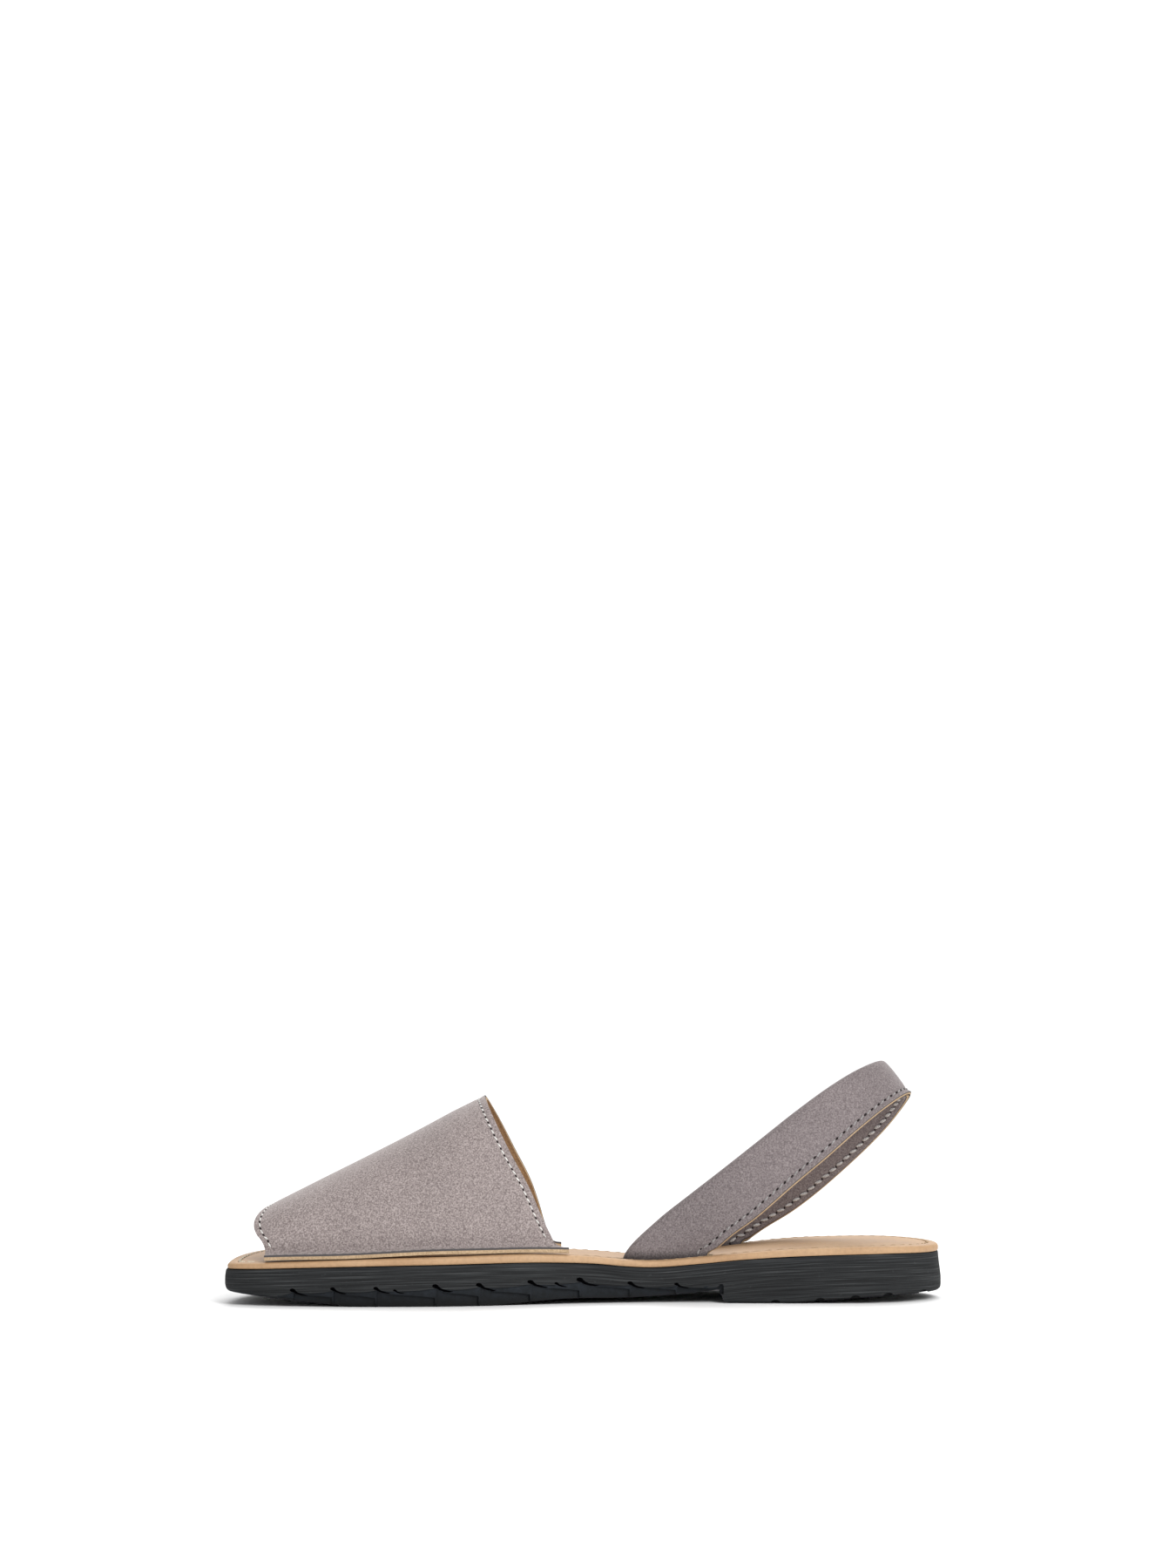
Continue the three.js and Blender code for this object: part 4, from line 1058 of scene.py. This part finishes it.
def sewn(name, lines, thread, pitch, length, width, slant=0.0, lift=0.2):
    """Joins one seam: its stitches in thread, with a hole between each two, a dark plug of painted shade."""
    ball = bpy.ops.mesh.primitive_uv_sphere_add
    stitch = shaped("stitch", ball, (length, width, width * 0.8), segments=8, ring_count=6, radius=0.5)
    hole = shaped("hole", ball, (pitch - length + 0.15, width * 1.15, HOLE_DEPTH), segments=8, ring_count=4,
                  radius=0.5)
    copies = ((stitch, Vector((0, 0, width * lift)), 0), (hole, Vector((pitch / 2, 0, 0)), 1))
    mesh = bmesh.new()
    count = 0
    for line in lines:
        for at, along, out in evenly(line, pitch):
            side = out.cross(along).normalized()
            turn = Matrix((along, side, along.cross(side).normalized())).transposed().to_4x4()
            lean = Matrix.Rotation(slant + random.uniform(-0.08, 0.08), 4, "Z")
            for model, shift, index in copies:
                first_vert, first_face = len(mesh.verts), len(mesh.faces)
                mesh.from_mesh(model.data)
                mesh.verts.ensure_lookup_table()
                mesh.faces.ensure_lookup_table()
                place = Matrix.Translation(at * MM) @ turn @ Matrix.Translation(shift * MM) @ lean
                for v in mesh.verts[first_vert:]:
                    v.co = place @ v.co
                for f in mesh.faces[first_face:]:
                    f.material_index = index
            count += 1
    mesh.to_mesh(stitch.data)
    mesh.free()
    bpy.data.objects.remove(hole, do_unlink=True)
    piece = named(stitch, name)
    dress(piece, thread, needle_hole_shade)
    smooth(piece, 60)
    print(f"{name}: {count} stitches, {pitch} mm apart")
    return piece

# %% Seams of the vamp
def vamp_line(place_x, steps=400):
    line = []
    for k in range(steps + 1):
        turn = 0.004 + 0.992 * k / steps
        ends = (throat_x(turn), toe_x(turn))
        line.append(drawn_down(("arch", 0, turn), ends, place_x(*ends)))
    return line


def flange_line(side):
    turn = 0 if side > 0 else 1
    ends = (FLANGE_BACK[side], toe_x(turn))
    xs = [ends[0] + 2.0 + (ends[1] - ends[0] - 3.6) * k / 200 for k in range(201)]
    return [drawn_down(("margin", side, 0.5), ends, x) for x in xs]


from_throat = [vamp_line(lambda back, front: back + THROAT_SEAM)]
from_toe = [vamp_line(lambda back, front: front - TOE_SEAM)]
throat_seam = sewn("throat_seam", from_throat, pale_thread, 2.7, 1.9, 0.62, 0.2)
toe_seam = sewn("toe_seam", from_toe, pale_thread, 2.8, 1.9, 0.62, 0.2)
margin_seam = sewn("margin_seam", [flange_line(1), flange_line(-1)], dark_thread, 3.4, 2.5, 0.66, 0.0, 0.0)

# %% Seams of the strap and the insole
def strap_line(face):
    """The seam on the strap's outer (+1) or inner (-1) face."""
    start, end = strap_meets(SEAM_DOWN, 1, insole_top), strap_meets(SEAM_DOWN, -1, insole_top)
    line = []
    for k in range(500):
        point, out, _ = strap_point(start + (end - start) * k / 499, SEAM_DOWN)
        line.append((point + out * (SEAM_HALF * face + STRAP_FLARE * SEAM_FLARE), out * face))
    return line


def insole_line(points):
    return [(Vector((x, y, insole_top(x, y) - CHANNEL_DEPTH)), Vector((0, 0, 1))) for x, y in points]


seam_ring = ring(seam_inset)
turn_over = len(STATIONS)
inner_side, outer_side = seam_ring[:turn_over], [seam_ring[0]] + seam_ring[:turn_over - 1:-1]
toe_part = [p for p in inner_side if p[0] > toe_x(0) + 2.5]
toe_part += [seam_ring[turn_over - 1]] + [p for p in outer_side[::-1] if p[0] > toe_x(1) + 2.5]
heel_part = [p for p in outer_side[::-1] if p[0] < FLANGE_BACK[-1] - 2.5]
heel_part += [p for p in inner_side if p[0] < FLANGE_BACK[1] - 2.5]
# the outer strap seam's thread is darkened as painted shade; the inner face shows the brighter thread
strap_seam = sewn("strap_seam", [strap_line(1)], shaded_strap_thread, 3.4, 2.2, 0.75, 0.3, 0.2)
strap_inner_seam = sewn("strap_inner_seam", [strap_line(-1)], silver_thread, 3.4, 2.9, 1.1, -0.3, 0.3)
insole_seam = sewn("insole_seam", [insole_line(toe_part)], cream_thread, 4.0, 3.0, 0.9, 0.25, 0.3)
heel_seam = sewn("heel_seam", [insole_line(heel_part)], tan_thread, 4.0, 2.9, 0.85, 0.25, 0.2)

# %% [markdown]
# ## Camera, floor and light
# The photograph was taken from about a metre and a half away, 4 degrees above the floor, square to the
# sandal's inner side. The sandal stands low in its tall frame, so the camera looks just above it.
# The floor is pale. A high light behind the sandal draws a soft shadow under the sole, a soft box lights the
# side that is seen, and the room behind stays white to the eye.

# %% Camera
eye = bpy.data.cameras.new("camera")
camera = bpy.data.objects.new("camera", eye)
scene = bpy.context.scene
scene.collection.objects.link(camera)
camera.location = (-0.0006, 1.4963, 0.1246)
camera.rotation_euler = (math.radians(90 + 2.153), 0, math.pi)
eye.lens = 96.94
eye.sensor_width = 36
scene.camera = camera

# %% Floor and light
deselect()
bpy.ops.mesh.primitive_plane_add(size=80, location=(0, 0, -0.0002))
floor = named(bpy.context.object, "floor")
pale = finish("pale_floor", (0.95, 0.95, 0.95), 0.9, 0.1)
dress(floor, pale)


def lamp(name, kind, energy, source, place=(0, 0, 0), **settings):
    """A lamp at place. Its light comes from the direction of source."""
    light = bpy.data.lights.new(name, kind)
    light.energy = energy
    for setting, value in settings.items():
        setattr(light, setting, value)
    made = bpy.data.objects.new(name, light)
    made.location = place
    made.rotation_euler = source.to_track_quat("Z", "Y").to_euler()
    scene.collection.objects.link(made)


FRONT, AIM = Vector((-0.8, 1.4, 1.1)), Vector((0, 0, 0.03))
HIGH_BEHIND = Vector((-0.1, -0.75, 0.9))
ROOM_LIGHT, ROOM_SEEN = 0.60, 1.1
lamp("front_light", "AREA", 27, FRONT - AIM, FRONT, shape="RECTANGLE", size=1.0, size_y=1.0)
lamp("high_light", "SUN", 2.0, HIGH_BEHIND, angle=math.radians(45))
world = bpy.data.worlds.new("white_room")
scene.world = world
world.use_nodes = True
seen = node(world, "ShaderNodeLightPath").outputs["Is Camera Ray"]
strength = node(world, "ShaderNodeMapRange", {"Value": seen, "To Min": ROOM_LIGHT, "To Max": ROOM_SEEN})
room = world.node_tree.nodes["Background"]
room.inputs["Color"].default_value = (1, 1, 1, 1)
world.node_tree.links.new(strength.outputs["Result"], room.inputs["Strength"])
scene.view_settings.view_transform = "Standard"

# %% [markdown]
# ## Onto the frame
# Everything here belongs to one body, because leather and rubber have no joints. Each main piece stands for
# its node of the imported model, and a seam goes with the piece that it is sewn in.

# %% Ride and replace
for piece, finish_name, stands_for in [(sole, "sole_rubber", "outsole"), (insole, "insole_leather", "insole"),
                                       (vamp, "vamp_nubuck", "vamp"), (strap, "strap_nubuck", "heel_strap")]:
    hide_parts(stands_for)
    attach(piece, "root")
for seam in (throat_seam, toe_seam, margin_seam, strap_seam, strap_inner_seam, insole_seam, heel_seam):
    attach(seam, "root")
